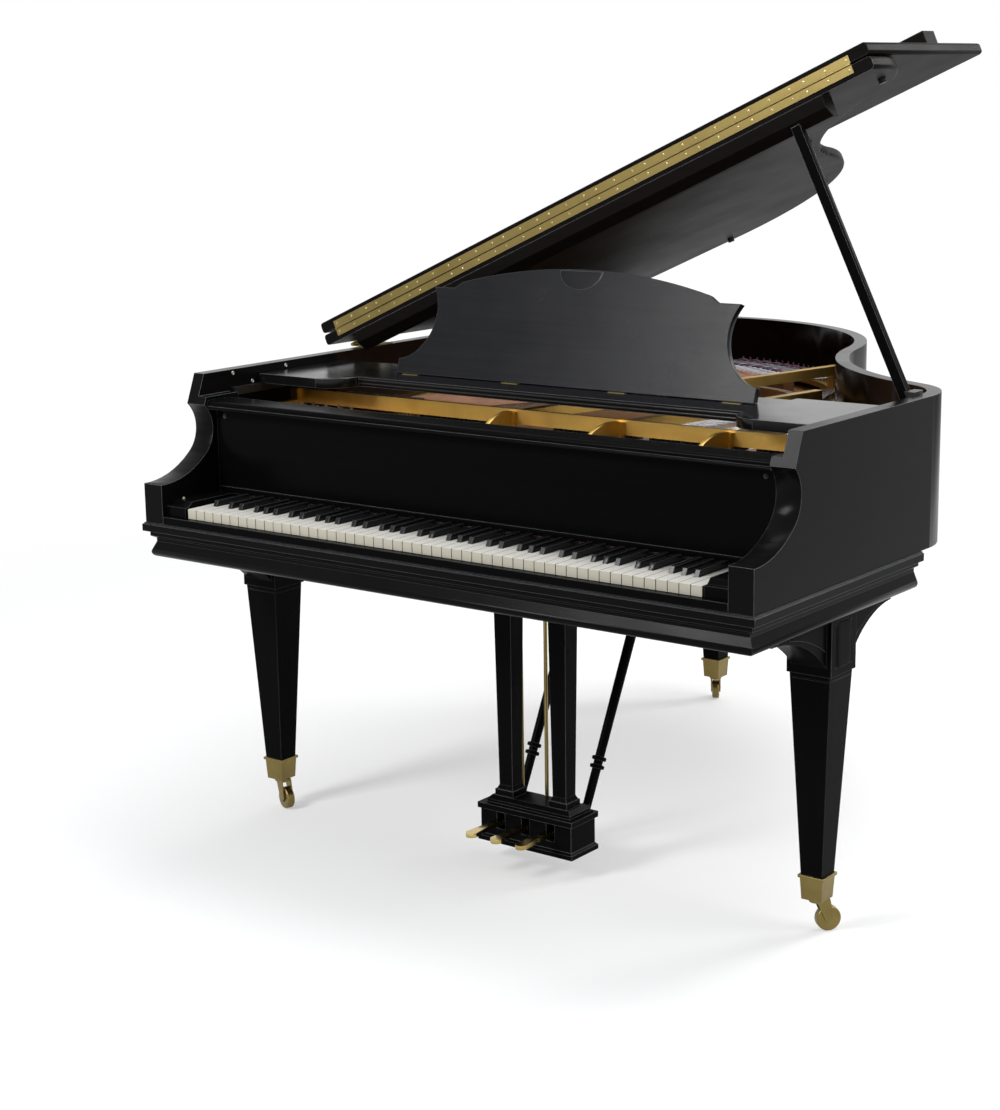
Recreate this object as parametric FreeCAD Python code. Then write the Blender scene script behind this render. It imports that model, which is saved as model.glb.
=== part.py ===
import FreeCAD, Part
import math
import os

# A grand piano with its lid propped open, in millimetres.
# Case frame: X to the treble side, Y back from the cheek fronts, Z up from the floor.
# Pieces that span the case take their places from its half width and length.

V = FreeCAD.Vector
UP = V(0, 0, 1)
RIGHT = V(1, 0, 0)
BACK = V(0, 1, 0)

# Overall case
half_width = 721.0
rim_length = 1642.0
rim_top = 979.0
rim_bottom = 689.0
rim_wall = 28.0
arm_wall = 50.0
arm_back_y = 232.0
lid_joint_y = 590.0
corner_after_joint = 55.0
corner_start_y = lid_joint_y + corner_after_joint
corner_radius = 150.0
bend_low_deg = 20.0
bend_high_deg = 85.0
bend_straight_goal = 52.28
bend_step_count = 60
waist_turn_deg = 13.0
tail_radius_share = 0.76422
tail_center_share = -0.38141
spine_corner_radius = 200.0
seat_gap = 0.3
overrun = 20.0

# Arm scroll, heights and depths of its turning points
cheek_top = 770.0
scroll_low_y = 72.0
scroll_low_z = 782.0
scroll_mid_y = 128.0
scroll_mid_z = 815.0
scroll_deep_y = 154.0
scroll_deep_z = 862.0
block_foot_y = 132.0
block_foot_z = 918.0
block_head_y = 156.0

# Base moulding, as standing out from the case side
base_bottom = 617.0
base_depth = 61.0
base_end_y = 612.0
bead_out = 3.0
bead_low = 686.0
fascia_out = 6.0
fascia_low = 671.0
step_in = -5.0
step_low = 660.0
cove_in = -14.0
cove_top = 655.0
cove_low = 648.0
torus_out = -7.0
torus_mid = 632.0
torus_low = 623.0
foot_in = -12.0

# Inside of the case
inner_rim_wall = 43.0
board_bottom = 830.0
board_thick = 8.0
board_edge_gap = 1.0
belly_rail_y = 528.0
belly_rail_depth = 32.0
keybed_back_y = 520.0
beam_height = 66.0
beam_width = 60.0
beam_lift = 12.0
beam_foot_shares = (-0.62, -0.2, 0.2, 0.5)
beam_head_x_shares = (-0.62, -0.42, -0.1, 0.3)
cross_beam_y = 655.0
cross_beam_depth = 60.0
tail_block_half = 95.0
tail_block_height = 24.0
runner_wall = 13.0
runner_height = 16.0
runner_end_y = 600.0

# Keyboard
white_key_count = 52
key_count = 88
key_gap = 1.0
key_top = 725.0
key_thick = 20.0
key_front_y = 14.0
key_back_y = 470.0
key_head_length = 50.0
sharp_width = 10.4
sharp_rise = 12.0
sharp_length = 96.0
sharp_slope = 6.0
sharp_offset = 2.6
sharp_relief = 1.2
balance_y = 240.0
balance_half = 7.0
balance_gap = 0.6
key_block_gap = 4.2
key_block_width = 54.2
key_block_room = key_block_width + key_block_gap + seat_gap
key_pitch = 2 * (half_width - arm_wall - key_block_room) / white_key_count
key_block_height = 48.0
key_block_step = 10.0
key_block_back_y = 150.0
slip_thick = 11.0
slip_height = 16.0
frame_gap = 0.3
frame_rail_depth = 26.0
frame_rail_height = 3.0
frame_end_gap = 31.0
frame_half = half_width - arm_wall - frame_end_gap
frame_slat_width = 40.0
frame_slat_count = 9

# Hammers and dampers
string_z = 868.0
hammer_pivot_y = 318.0
hammer_pivot_z = 812.0
hammer_reach = 132.0
hammer_rise = 54.0
hammer_tail = 18.0
hammer_swing_deg = 18.2
hammer_width = 8.4
hammer_head_depth = 24.0
hammer_nose = 8.0
shank_radius = 2.6
butt_radius = 3.6
butt_gap = 0.4
hammer_rail_depth = 16.0
hammer_rail_height = 18.0
action_bracket_width = 10.0
action_bracket_inset = 12.0
damper_y = 492.0
undamped_count = 6
damper_width = 6.6
damper_depth = 32.0
damper_height = 24.0
damper_wire_radius = 0.8
damper_rail_z = 780.0
damper_rail_height = 10.0
damper_rail_depth = 24.0
damper_gap = 0.4
damper_wire_shift = 3.4

# Plate, pinblock and strings
plate_bottom = 848.0
plate_thick = 12.0
plate_back_y = 425.0
plate_side_gap = 2.0
plate_edge = 6.0
hitch_panel_inset = 78.0
action_opening_inset = 34.0
action_opening_half = half_width - rim_wall - action_opening_inset
action_opening_back_y = 540.0
wall_y = 424.0
wall_thick = 10.0
wall_low = 888.0
wall_top = 918.0
strut_width = 20.0
strut_low = 892.0
strut_top = 914.0
gusset_reach = 120.0
gusset_thick = 9.0
gusset_curve_share = 0.71
pinblock_bottom = 822.0
pin_radius = 2.9
pin_height = 26.0
pin_row_step = 26.0
pin_first_y = 300.0
pin_row_count = 4
hitch_pin_radius = 2.2
hitch_pin_height = 16.0
treble_radius = 0.55
bass_radius = 1.7
bass_lift = 13.0
treble_section_front_shares = ((0.60, 0.875), (0.26, 0.55), (-0.06, 0.21), (-0.50, -0.20))
treble_section_hitch_shares = ((0.095, 0.150), (0.160, 0.245), (0.385, 0.465))
strut_hitch_shares = (0.090, 0.155, 0.2525)
top_hitch_shares = ((0.867, 0.0286), (0.673, 0.2365))
top_hitch_edge = 22.0
treble_section_counts = (34, 36, 36, 32)
bass_front_shares = (-0.85, -0.60)
bass_hitch_shares = (0.355, 0.260)
bass_count = 20
hitch_inset = 62.0
hitch_ring_points = 8000
string_end_gap = 0.3
bridge_section_shares = ((0.62, 0.78), (0.80, 0.84), (0.84, 0.84), (0.74, 0.74))
bridge_skip_count = 12
bass_bridge_share = 0.89
bridge_half = 13.0
bridge_sample_count = 5
bridge_gap = 1.0
rib_count = 9
rib_width = 16.0
rib_height = 14.0
bolt_head_radius = 7.0
bolt_head_height = 6.0
bolt_ring_points = 60
bolt_skip_count = 3
bolt_inset = 48.0

# Stretcher rail and fallboard
stretcher_front_y = 140.0
stretcher_back_y = 206.0
stretcher_low = 908.0
stretcher_top = 926.0
arm_ledge_rise = 8.0
arm_ledge = stretcher_top + arm_ledge_rise
stretcher_round = 7.0
stretcher_bead = 3.5
fall_front_y = 166.0
fall_thick = 18.0
fall_low = 744.0
fall_top = 905.0
fall_end_gap = 1.2
fall_pivot_rise = 13.0
fall_pin_radius = 4.0
fall_pin_bite = 12.0
running_gap = 0.05

# Music shelf and desk
shelf_top = 962.0
shelf_thick = 20.0
shelf_side_gap = 6.0
shelf_half = half_width - rim_wall - shelf_side_gap
wing_width = 220.0
wing_inner_x = shelf_half - wing_width
wing_front_y = 316.0
wing_back_gap = 5.0
wing_back_y = lid_joint_y - wing_back_gap
wing_chamfer = 60.0
bar_front_y = 384.0
bar_back_y = 560.0
desk_y = 472.0
desk_lean_deg = 18.0
desk_thick = 15.0
desk_hinge_rise = 1.4
desk_foot_gap = 0.4
desk_side_room = 284.0
desk_foot_half = half_width - desk_side_room
desk_foot_height = 31.0
desk_knee_in = 53.0
desk_knee_half = desk_foot_half - desk_knee_in
desk_knee_height = 60.0
desk_knee_shares = (0.62, 0.38)
desk_waist_in = 80.0
desk_waist_half = desk_foot_half - desk_waist_in
desk_waist_height = 118.0
desk_ear_in = 63.0
desk_ear_half = desk_foot_half - desk_ear_in
desk_ear_height = 188.0
desk_ear_length = 52.0
desk_ear_inner_half = desk_ear_half - desk_ear_length
desk_shoulder_in = 22.0
desk_shoulder_half = desk_ear_inner_half - desk_shoulder_in
desk_shoulder_height = 202.0
desk_crown_height = 240.0
desk_rest_half = 24.0
desk_rest_height = 60.0
desk_rest_foot = 46.0
desk_rest_in = 177.0
desk_rest_x = desk_foot_half - desk_rest_in
desk_leaf_half = 20.0
desk_leaf_depth = 9.0
desk_leaf_thick = 1.0
desk_leaf_x_shares = (-0.9, -0.3, 0.3, 0.9)

# Lid
lid_open_deg = 23.5
lid_thick = 24.0
lid_gap = 8.0
lid_overhang = 15.0
lid_round = 7.0
lid_hinge_out = 5.0
lid_joint_gap = 2.0
flap_front_y = 110.0
barrel_radius = 2.0
barrel_pin_radius = 0.9
leaf_thick = 1.5
leaf_height = 15.0
leaf_end_inset = 26.0
knuckle_count = 31
knuckle_gap = 0.3
batten_depth = 42.0
batten_thick = 36.0
batten_left_inset = 71.0
batten_left_x = batten_left_inset - half_width
batten_right_inset = 103.0
batten_right_x = half_width - batten_right_inset
batten_bevel = 18.0
drop_rail_end_gap = 5.0
drop_rail_half = half_width - arm_wall - drop_rail_end_gap
drop_rail_front_y = 135.0
drop_rail_thick = 50.0
drop_rail_depth = 57.0
spine_hinge_y_shares = (0.44, 0.64, 0.83)
spine_hinge_half = 45.0
spine_barrel_radius = 3.5
spine_pin_radius = 1.6
spine_leaf_thick = 2.0
spine_leaf_reach = 46.0
bumper_radius = 8.0
bumper_clear = 0.4
bumper_inset = 18.0

# Lid prop
prop_pivot_in = 27.0
prop_pivot_before_corner = 5.0
prop_pivot_drop = 4.5
prop_head_inset = 177.3
prop_head_behind_joint = 14.0
prop_head_lift = 0.6
prop_width = 20.0
prop_thick = 15.0
prop_foot = 12.0
prop_fold_x_share = -0.03
prop_pin_radius = 3.0
prop_clear = 0.8
prop_stretch = 30.0
bracket_reach = 26.0
bracket_half = 20.0
bracket_low = 938.0
bracket_head_gap = 1.2
bracket_bite = 4.0
short_prop_length = 290.0
short_prop_thick = 7.0
short_prop_start = 120.0
short_prop_gap = 0.4
short_prop_foot = 2.15
short_pin_radius = 1.5

# Legs and casters
leg_inset = 69.0
leg_x = half_width - leg_inset
leg_y = 358.0
left_leg_inset = 55.0
left_leg_x = left_leg_inset - half_width
left_leg_y = 314.0
tail_leg_share = -0.43135
tail_leg_x = tail_leg_share * half_width
tail_leg_inset = 82.0
tail_leg_y = rim_length - tail_leg_inset
capital_half = 46.0
capital_low = 506.0
shaft_top_half = 42.0
shaft_low_half = 23.0
ferrule_top = 114.0
ferrule_lip_height = 6.0
ferrule_lip_half = 27.0
ferrule_half = 24.0
ferrule_low_half = 21.5
ferrule_low = 65.0
corbel_front_reach = 240.0
corbel_back_reach = 200.0
corbel_half = 36.0
corbel_lip = 14.0
corbel_drop = 96.0
corbel_curve_share = 0.41
panel_groove = 3.0
panel_inset = 16.0
panel_line = 4.0
fork_stem_radius = 6.0
fork_stem_length = 24.0
fork_plate_radius = 15.0
fork_plate_thick = 6.0
fork_gap = 0.5
fork_cheek_thick = 3.0
fork_cheek_half = 9.0
wheel_radius = 24.0
wheel_width = 17.0
wheel_side_gap = 0.6
wheel_rim_round = 3.0
axle_radius = 4.0
caster_trail = 22.0
right_caster_deg = 50.0
left_caster_deg = -20.0
tail_caster_deg = 119.0

# Lyre and pedals
lyre_x = 14.0
lyre_front_y = 300.0
lyre_depth = 93.0
lyre_half = 118.0
lyre_low = 42.0
lyre_box_height = 80.0
lyre_plinth_height = 14.0
lyre_plinth_inset = 14.0
lyre_body_inset = 5.0
lyre_cap_height = 12.0
lyre_base_height = 14.0
lyre_bevel = 8.0
pillar_foot_out = 7.0
pillar_foot_height = 13.0
pillar_foot_rise = 10.0
lyre_wall = 14.0
pillar_shift = 67.0
pillar_top_half = 22.0
pillar_low_half = 16.0
lyre_head_height = 30.0
lyre_head_half = 112.0
lyre_head_depth = 64.0
pedal_pitch = 62.0
pedal_tip_y = 196.0
pedal_pivot_y = 340.0
pedal_tail_y = 380.0
pedal_z = 90.0
pedal_thick = 9.0
pedal_half = 12.0
pedal_neck_half = 8.0
pedal_neck_y = 252.0
pedal_slot_half = 10.0
pedal_slot_low = 72.0
pedal_slot_top = 108.0
pedal_pin_radius = 3.0
rod_radius = 4.0
rod_hole_radius = 5.5
rod_head_gap = 4.0
brace_radius = 9.0
brace_head_radius = 12.0
brace_ring_radius = 15.0
brace_ring_share = 0.13
brace_ring_length = 8.0
brace_ring_gap = 9.0
brace_x = 82.0
brace_low_z = 118.0
brace_head_y = 690.0


def box(x0, x1, y0, y1, z0, z1):
    return Part.makeBox(x1 - x0, y1 - y0, z1 - z0, V(x0, y0, z0))


def polygon(points):
    """Flat face inside a closed ring of corner points."""
    return Part.Face(Part.makePolygon(points + points[:1]))


def prism_x(points, x0, x1):
    """Prism along X from corners given as (y, z)."""
    return polygon([V(x0, y, z) for y, z in points]).extrude(RIGHT * (x1 - x0))


def prism_z(points, z0, z1):
    """Upright prism from corners given as (x, y)."""
    return polygon([V(x, y, z0) for x, y in points]).extrude(UP * (z1 - z0))


def rod(start, end, radius):
    """Round rod between two points."""
    run = end - start
    return Part.makeCylinder(radius, run.Length, start, run)


def loft_square(cx, cy, half_low, z_low, half_high, z_high):
    """Square pillar that tapers from one half width to another."""
    rings = []
    for half, z in ((half_low, z_low), (half_high, z_high)):
        ring = [V(cx - half, cy - half, z), V(cx + half, cy - half, z),
                V(cx + half, cy + half, z), V(cx - half, cy + half, z)]
        rings.append(Part.makePolygon(ring + ring[:1]))
    return Part.makeLoft(rings, True, True)


def fused(shapes):
    """One solid out of pieces that are glued or cast together."""
    return shapes[0].multiFuse(shapes[1:]).removeSplitter()


def group(shapes):
    """Separate solids that share one name."""
    return Part.makeCompound(shapes)


def mirrored(shape):
    return shape.mirror(V(0, 0, 0), RIGHT)


def mix(a, b, share):
    return a + (b - a) * share


# The case outline: straight treble side, round corner, hollow bentside, round tail, straight spine.
waist = math.radians(waist_turn_deg)
tail_radius = tail_radius_share * half_width
tail_center_x = tail_center_share * half_width
corner_center = V(half_width - corner_radius, corner_start_y, 0)
tail_center = V(tail_center_x, rim_length - tail_radius, 0)


def on_circle(center, radius, angle):
    return center + V(math.cos(angle), math.sin(angle), 0) * radius


tail_start = on_circle(tail_center, tail_radius, waist)


def bentside(bend):
    """Straight length, hollow radius and hollow centre that join a corner turned by bend to the tail."""
    corner_end = on_circle(corner_center, corner_radius, bend)
    run = tail_start - corner_end
    along = V(-math.sin(bend), math.cos(bend), 0)
    turn = V(math.cos(bend) - math.cos(waist), math.sin(bend) - math.sin(waist), 0)
    cross = along.x * turn.y - along.y * turn.x
    straight = (run.x * turn.y - run.y * turn.x) / cross
    radius = (along.x * run.y - along.y * run.x) / cross
    return straight, radius, on_circle(corner_end + along * straight, radius, bend)


def corner_turn():
    """The turn of the round corner that leaves the wanted straight before the hollow, found by halving."""
    low = math.radians(bend_low_deg)
    high = math.radians(bend_high_deg)
    for step in range(bend_step_count):
        middle = (low + high) / 2
        if bentside(middle)[0] > bend_straight_goal:
            low = middle
        else:
            high = middle
    return high


bend = corner_turn()
bend_straight, hollow_radius, hollow_center = bentside(bend)


def case_wire(inset, front_y):
    """Closed plan outline, moved inwards by inset, cut straight across at front_y."""
    side = half_width - inset
    spine_center = V(spine_corner_radius - half_width, rim_length - spine_corner_radius, 0)
    spine_r = spine_corner_radius - inset

    def arc(center, radius, a0, a1):
        middle = on_circle(center, radius, (a0 + a1) / 2)
        return Part.Arc(on_circle(center, radius, a0), middle, on_circle(center, radius, a1)).toShape()

    quarter = math.pi / 2
    hollow = math.pi
    curves = [
        arc(corner_center, corner_radius - inset, 0, bend),
        arc(hollow_center, hollow_radius + inset, hollow + bend, hollow + waist),
        arc(tail_center, tail_radius - inset, waist, quarter),
        arc(spine_center, spine_r, quarter, 2 * quarter),
    ]
    edges = []
    here = V(side, front_y, 0)
    for curve in curves:
        first = curve.firstVertex(True).Point
        if (first - here).Length > seat_gap:
            edges.append(Part.makeLine(here, first))
        edges.append(curve)
        here = curve.lastVertex(True).Point
    left = V(-side, front_y, 0)
    edges.append(Part.makeLine(here, left))
    edges.append(Part.makeLine(left, V(side, front_y, 0)))
    return Part.Wire(edges)


def case_solid(inset, front_y, z0, z1):
    """The space inside the case outline between two heights."""
    face = Part.Face(case_wire(inset, front_y))
    face.translate(UP * z0)
    return face.extrude(UP * (z1 - z0))


# Case

def make_outer_rim():
    shell = case_solid(0, 0, rim_bottom, rim_top)
    shell = shell.cut(case_solid(rim_wall, arm_back_y, rim_bottom - overrun, rim_top + overrun))
    arm_x = half_width - arm_wall
    shell = shell.cut(box(-arm_x, arm_x, -overrun, arm_back_y + overrun,
                          rim_bottom - overrun, rim_top + overrun))
    shell = shell.cut(case_solid(rim_wall, -overrun, arm_ledge, rim_top + overrun))
    side = half_width + overrun

    def at(y, z):
        return V(-side, y, z)

    low = Part.Arc(at(0, cheek_top), at(scroll_low_y, scroll_low_z), at(scroll_mid_y, scroll_mid_z))
    deep = Part.Arc(at(scroll_mid_y, scroll_mid_z), at(scroll_deep_y, scroll_deep_z),
                    at(block_foot_y, block_foot_z))
    outer = [at(block_foot_y, block_foot_z), at(block_head_y, rim_top),
             at(block_head_y, rim_top + overrun), at(-overrun, rim_top + overrun),
             at(-overrun, cheek_top), at(0, cheek_top)]
    lines = [Part.makeLine(a, b) for a, b in zip(outer, outer[1:])]
    ring = Part.Wire([low.toShape(), deep.toShape()] + lines)
    shell = shell.cut(Part.Face(ring).extrude(RIGHT * (2 * side)))
    for mark in (-1, 1):
        start = V(mark * arm_x, fall_pivot.y, fall_pivot.z)
        bite = V(mark * (fall_pin_bite + seat_gap), 0, 0)
        shell = shell.cut(rod(start, start + bite, fall_pin_radius + running_gap))
    return shell


def make_inner_rim():
    inset = rim_wall + seat_gap
    front = belly_rail_y
    shell = case_solid(inset, front, rim_bottom, board_bottom)
    shell = shell.cut(case_solid(inset + inner_rim_wall, front - overrun, rim_bottom - overrun,
                                 board_bottom + overrun))
    return group([shell] + shelf_runners())


def make_case_beams():
    inset = rim_wall + inner_rim_wall + 2 * seat_gap
    low = rim_bottom + beam_lift
    room = case_solid(inset, belly_rail_y, rim_bottom, board_bottom)
    rail_back = belly_rail_y + belly_rail_depth
    pieces = [room.common(box(-half_width, half_width, belly_rail_y, rail_back, rim_bottom, board_bottom))]
    pieces.append(room.common(box(-half_width, half_width, cross_beam_y, cross_beam_y + cross_beam_depth,
                                  rim_bottom, low + beam_height)))
    for foot_share, head_share in zip(beam_foot_shares, beam_head_x_shares):
        foot = V(foot_share * half_width, rail_back, 0)
        head = V(head_share * half_width, rim_length, 0)
        side = V(beam_width / 2, 0, 0)
        plan = polygon([foot - side, foot + side, head + side, head - side])
        plan.translate(UP * low)
        pieces.append(room.common(plan.extrude(UP * beam_height)))
    block = box(tail_leg_x - tail_block_half, tail_leg_x + tail_block_half, tail_leg_y - tail_block_half,
                rim_length, rim_bottom, rim_bottom + tail_block_height)
    pieces.append(room.common(block))
    return fused(pieces)


def shelf_runners():
    """Two strips glued inside the rim, on which the music shelf slides."""
    x0 = half_width - rim_wall - runner_wall
    top = shelf_top - shelf_thick - seat_gap
    right = box(x0, half_width - rim_wall, arm_back_y, runner_end_y, top - runner_height, top)
    return [right, mirrored(right)]


def make_keybed():
    x = half_width - base_depth - seat_gap
    return box(-x, x, base_depth + seat_gap, keybed_back_y, base_bottom, rim_bottom)


def make_base_moulding():
    """Moulding profile carried round the front and both sides, mitred at the corners."""
    def at(out, z):
        return V(half_width + out, base_end_y, z)

    inside = -base_depth
    torus_middle = (torus_low + torus_mid) / 2
    corners = [
        at(torus_out, torus_mid), at(cove_in, cove_low), at(cove_in, cove_top), at(step_in, step_low),
        at(step_in, fascia_low), at(fascia_out, fascia_low), at(fascia_out, bead_low),
        at(bead_out, bead_low), at(bead_out, rim_bottom), at(inside, rim_bottom),
        at(inside, base_bottom), at(foot_in, base_bottom),
    ]
    lines = [Part.makeLine(a, b) for a, b in zip(corners, corners[1:])]
    bulge = Part.Arc(at(foot_in, base_bottom), at(torus_out + bead_out / 2, torus_middle),
                     at(torus_out, torus_mid))
    profile = Part.Wire(lines + [bulge.toShape()])
    path = Part.makePolygon([V(half_width, base_end_y, 0), V(half_width, 0, 0),
                             V(-half_width, 0, 0), V(-half_width, base_end_y, 0)])
    return path.makePipeShell([profile], True, False, 1)


def make_key_slip():
    x = half_width - arm_wall - seat_gap
    return box(-x, x, 0, slip_thick, rim_bottom, rim_bottom + slip_height)


def make_key_blocks():
    x0 = white_key_count * key_pitch / 2 + key_block_gap
    x1 = half_width - arm_wall - seat_gap
    y0 = slip_thick + seat_gap
    top = rim_bottom + key_block_height
    shape = [(y0, rim_bottom), (key_block_back_y, rim_bottom), (key_block_back_y, top),
             (y0 + key_block_step * 2, top), (y0 + key_block_step, top - key_block_step),
             (y0, top - key_block_step)]
    right = prism_x(shape, x0, x1)
    return group([right, mirrored(right)])


def make_stretcher():
    x = half_width - arm_wall
    bar = box(-x, x, stretcher_front_y, stretcher_back_y, stretcher_low, stretcher_top)
    front = [e for e in bar.Edges if abs(e.CenterOfMass.y - stretcher_front_y) < seat_gap
             and e.Length > half_width and e.CenterOfMass.z > stretcher_low + stretcher_bead]
    bead_at = V(-x, stretcher_front_y, stretcher_low + stretcher_bead)
    bead = rod(bead_at, bead_at + RIGHT * (x + x), stretcher_bead)
    return fused([bar.makeFillet(stretcher_round, front), bead])


# Soundboard, plate and strings

hitch_ring = case_wire(hitch_inset, belly_rail_y).discretize(Number=hitch_ring_points)


def hitch_at(share):
    """Point on the line of hitch pins, as a share of the way round the case from the treble side."""
    return V(hitch_ring[round(share * (hitch_ring_points - 1))])


def top_hitch_ends(z):
    """Both ends of the short line of hitch pins behind the highest strings."""
    return [V(x * half_width, mix(belly_rail_y, rim_length, y), z) for x, y in top_hitch_shares]


def treble_lines():
    """Front point and hitch point of each plain string, section by section."""
    lines = []
    first, last = top_hitch_ends(string_z)
    for section, count in enumerate(treble_section_counts):
        fronts = treble_section_front_shares[section]
        for i in range(count):
            share = i / (count - 1)
            x = mix(fronts[1], fronts[0], share) * half_width
            if section == 0:
                back = mix(first, last, share)
            else:
                span = treble_section_hitch_shares[section - 1]
                back = hitch_at(mix(span[0], span[1], share)) + UP * string_z
            lines.append((V(x, wall_y, string_z), back))
    return lines


def bass_lines():
    lines = []
    z = string_z + bass_lift
    for i in range(bass_count):
        share = i / (bass_count - 1)
        x = mix(bass_front_shares[1], bass_front_shares[0], share) * half_width
        back = hitch_at(mix(bass_hitch_shares[1], bass_hitch_shares[0], share)) + UP * z
        lines.append((V(x, wall_y, z), back))
    return lines


def pin_point(front, back, index, rows):
    """Where a string's line, carried forward, meets its row of tuning pins."""
    y = pin_first_y + (index % rows) * pin_row_step
    slope = (back - front) * (1 / (back.y - front.y))
    return front + slope * (y - front.y)


def strings(lines, radius, rows):
    made = []
    for index, (front, back) in enumerate(lines):
        start = pin_point(front, back, index, rows)
        run = back - start
        run.normalize()
        first = start + run * (pin_radius + string_end_gap)
        last = back - run * (hitch_pin_radius + string_end_gap)
        made.append(rod(first, last, radius))
    return made


def make_treble_strings():
    return group(strings(treble_lines(), treble_radius, pin_row_count))


def make_bass_strings():
    return group(strings(bass_lines(), bass_radius, pin_row_count))


def make_string_pins():
    """Tuning pins in four rows at the front, and a hitch pin at the far end of every string."""
    top = plate_bottom + plate_thick
    pins = []
    for lines, lift in ((treble_lines(), 0), (bass_lines(), bass_lift)):
        for index, (front, back) in enumerate(lines):
            spot = pin_point(front, back, index, pin_row_count)
            pins.append(Part.makeCylinder(pin_radius, pin_height + lift, V(spot.x, spot.y, top)))
            pins.append(Part.makeCylinder(hitch_pin_radius, hitch_pin_height + lift, V(back.x, back.y, top)))
    return group(pins)


def make_soundboard():
    front = belly_rail_y + belly_rail_depth / 2
    return case_solid(rim_wall + board_edge_gap, front, board_bottom, board_bottom + board_thick)


def make_soundboard_ribs():
    inset = rim_wall + inner_rim_wall + 2 * seat_gap
    front = belly_rail_y + belly_rail_depth + seat_gap
    top = board_bottom
    room = case_solid(inset, front, top - rib_height, top)
    step = (rim_length - front) / (rib_count + 1)
    ribs = []
    for i in range(rib_count):
        y = front + step * (i + 1)
        ribs.append(room.common(box(-half_width, half_width, y, y + rib_width, top - rib_height, top)))
    return group(ribs)


def ribbon(points, half, z0, z1):
    """A bar of even width that follows a smooth line through the points."""
    sides = []
    for mark in (1, -1):
        moved = []
        for i, spot in enumerate(points):
            ahead = points[min(i + 1, len(points) - 1)] - points[max(i - 1, 0)]
            ahead.normalize()
            moved.append(spot + V(-ahead.y, ahead.x, 0) * (mark * half))
        curve = Part.BSplineCurve()
        curve.interpolate([V(p.x, p.y, z0) for p in moved])
        sides.append(curve.toShape())
    ends = [Part.makeLine(sides[0].firstVertex(True).Point, sides[1].firstVertex(True).Point),
            Part.makeLine(sides[0].lastVertex(True).Point, sides[1].lastVertex(True).Point)]
    ring = Part.Wire(Part.__sortEdges__(sides + ends))
    return Part.Face(ring).extrude(UP * (z1 - z0))


def make_bridges():
    low = board_bottom + board_thick
    treble = treble_lines()
    points = []
    base = 0
    for count, (share_a, share_b) in zip(treble_section_counts, bridge_section_shares):
        first = bridge_skip_count if base == 0 else 0
        for k in range(bridge_sample_count):
            step = k / (bridge_sample_count - 1)
            front, back = treble[base + round(mix(first, count - 1, step))]
            points.append(mix(front, back, mix(share_a, share_b, step)))
        base += count
    long_bridge = ribbon(points, bridge_half, low, string_z - bridge_gap - treble_radius)
    bass = bass_lines()
    ends = [mix(front, back, bass_bridge_share) for front, back in (bass[0], bass[bass_count // 2], bass[-1])]
    bass_bridge = ribbon(ends, bridge_half, low, string_z + bass_lift - bridge_gap - bass_radius)
    return group([long_bridge, bass_bridge])


def make_plate():
    top = plate_bottom + plate_thick
    side = half_width - rim_wall - plate_side_gap
    field = box(-side, side, arm_back_y + plate_side_gap, plate_back_y, plate_bottom, top)
    outer = case_solid(rim_wall + plate_side_gap, plate_back_y - plate_edge, plate_bottom, top)
    inner = case_solid(hitch_panel_inset, plate_back_y, plate_bottom - overrun, top + overrun)
    action_room = box(-action_opening_half, action_opening_half, plate_back_y, action_opening_back_y,
                      plate_bottom - overrun, top + overrun)
    panel = outer.cut(inner).cut(action_room)
    first, last = top_hitch_ends(0)
    edge = top_hitch_edge
    shoulder = prism_z([(first.x - edge, first.y - edge), (side, first.y - edge), (side, last.y + edge),
                        (last.x - edge, last.y + edge), (last.x - edge, last.y)], plate_bottom, top)
    pieces = [field, panel, shoulder.common(outer)]
    pieces.append(box(-side, side, wall_y, wall_y + wall_thick, wall_low, wall_top))
    for start, front, back in strut_lines():
        pieces.append(gusset(start, front))
        pieces.append(bar_between(front, back, strut_low, strut_top))
        for spot, other, reach in ((front, start, gusset_thick), (back, front, strut_width)):
            ahead = other - spot
            ahead.normalize()
            pieces.append(bar_between(spot, spot + ahead * reach, plate_bottom, strut_top))
    for mark in (-1, 1):
        x0 = mark * side
        x1 = mark * (side - strut_width)
        pieces.append(box(min(x0, x1), max(x0, x1), wall_y - gusset_reach, wall_y + wall_thick,
                          plate_bottom, wall_low + plate_edge))
        pieces.append(box(min(x0, x1), max(x0, x1), wall_y - gusset_thick, wall_y + wall_thick,
                          plate_bottom, wall_top))
    return fused(pieces)


def bar_between(a, b, z0, z1):
    """Strut of the plate from one plan point to another."""
    run = b - a
    run.normalize()
    across = V(-run.y, run.x, 0) * (strut_width / 2)
    bar = polygon([a - across, b - across, b + across, a + across])
    bar.translate(UP * z0)
    return bar.extrude(UP * (z1 - z0))


def gusset(start, front):
    """Curved web that falls from the top of the wall to the field of tuning pins."""
    run = front - start
    run.normalize()
    across = V(-run.y, run.x, 0) * (gusset_thick / 2)
    sunk = plate_bottom + plate_edge
    field = plate_bottom + plate_thick
    high = front + UP * strut_top - across
    middle = mix(front, start, gusset_curve_share) + UP * mix(field, strut_top, gusset_curve_share) - across
    low = start + UP * field - across
    curve = Part.Arc(high, middle, low).toShape()
    toe = start + UP * sunk - across
    heel = front + UP * sunk - across
    ring = Part.Wire([curve, Part.makeLine(low, toe), Part.makeLine(toe, heel), Part.makeLine(heel, high)])
    return Part.Face(ring).extrude(across * 2)


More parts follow.
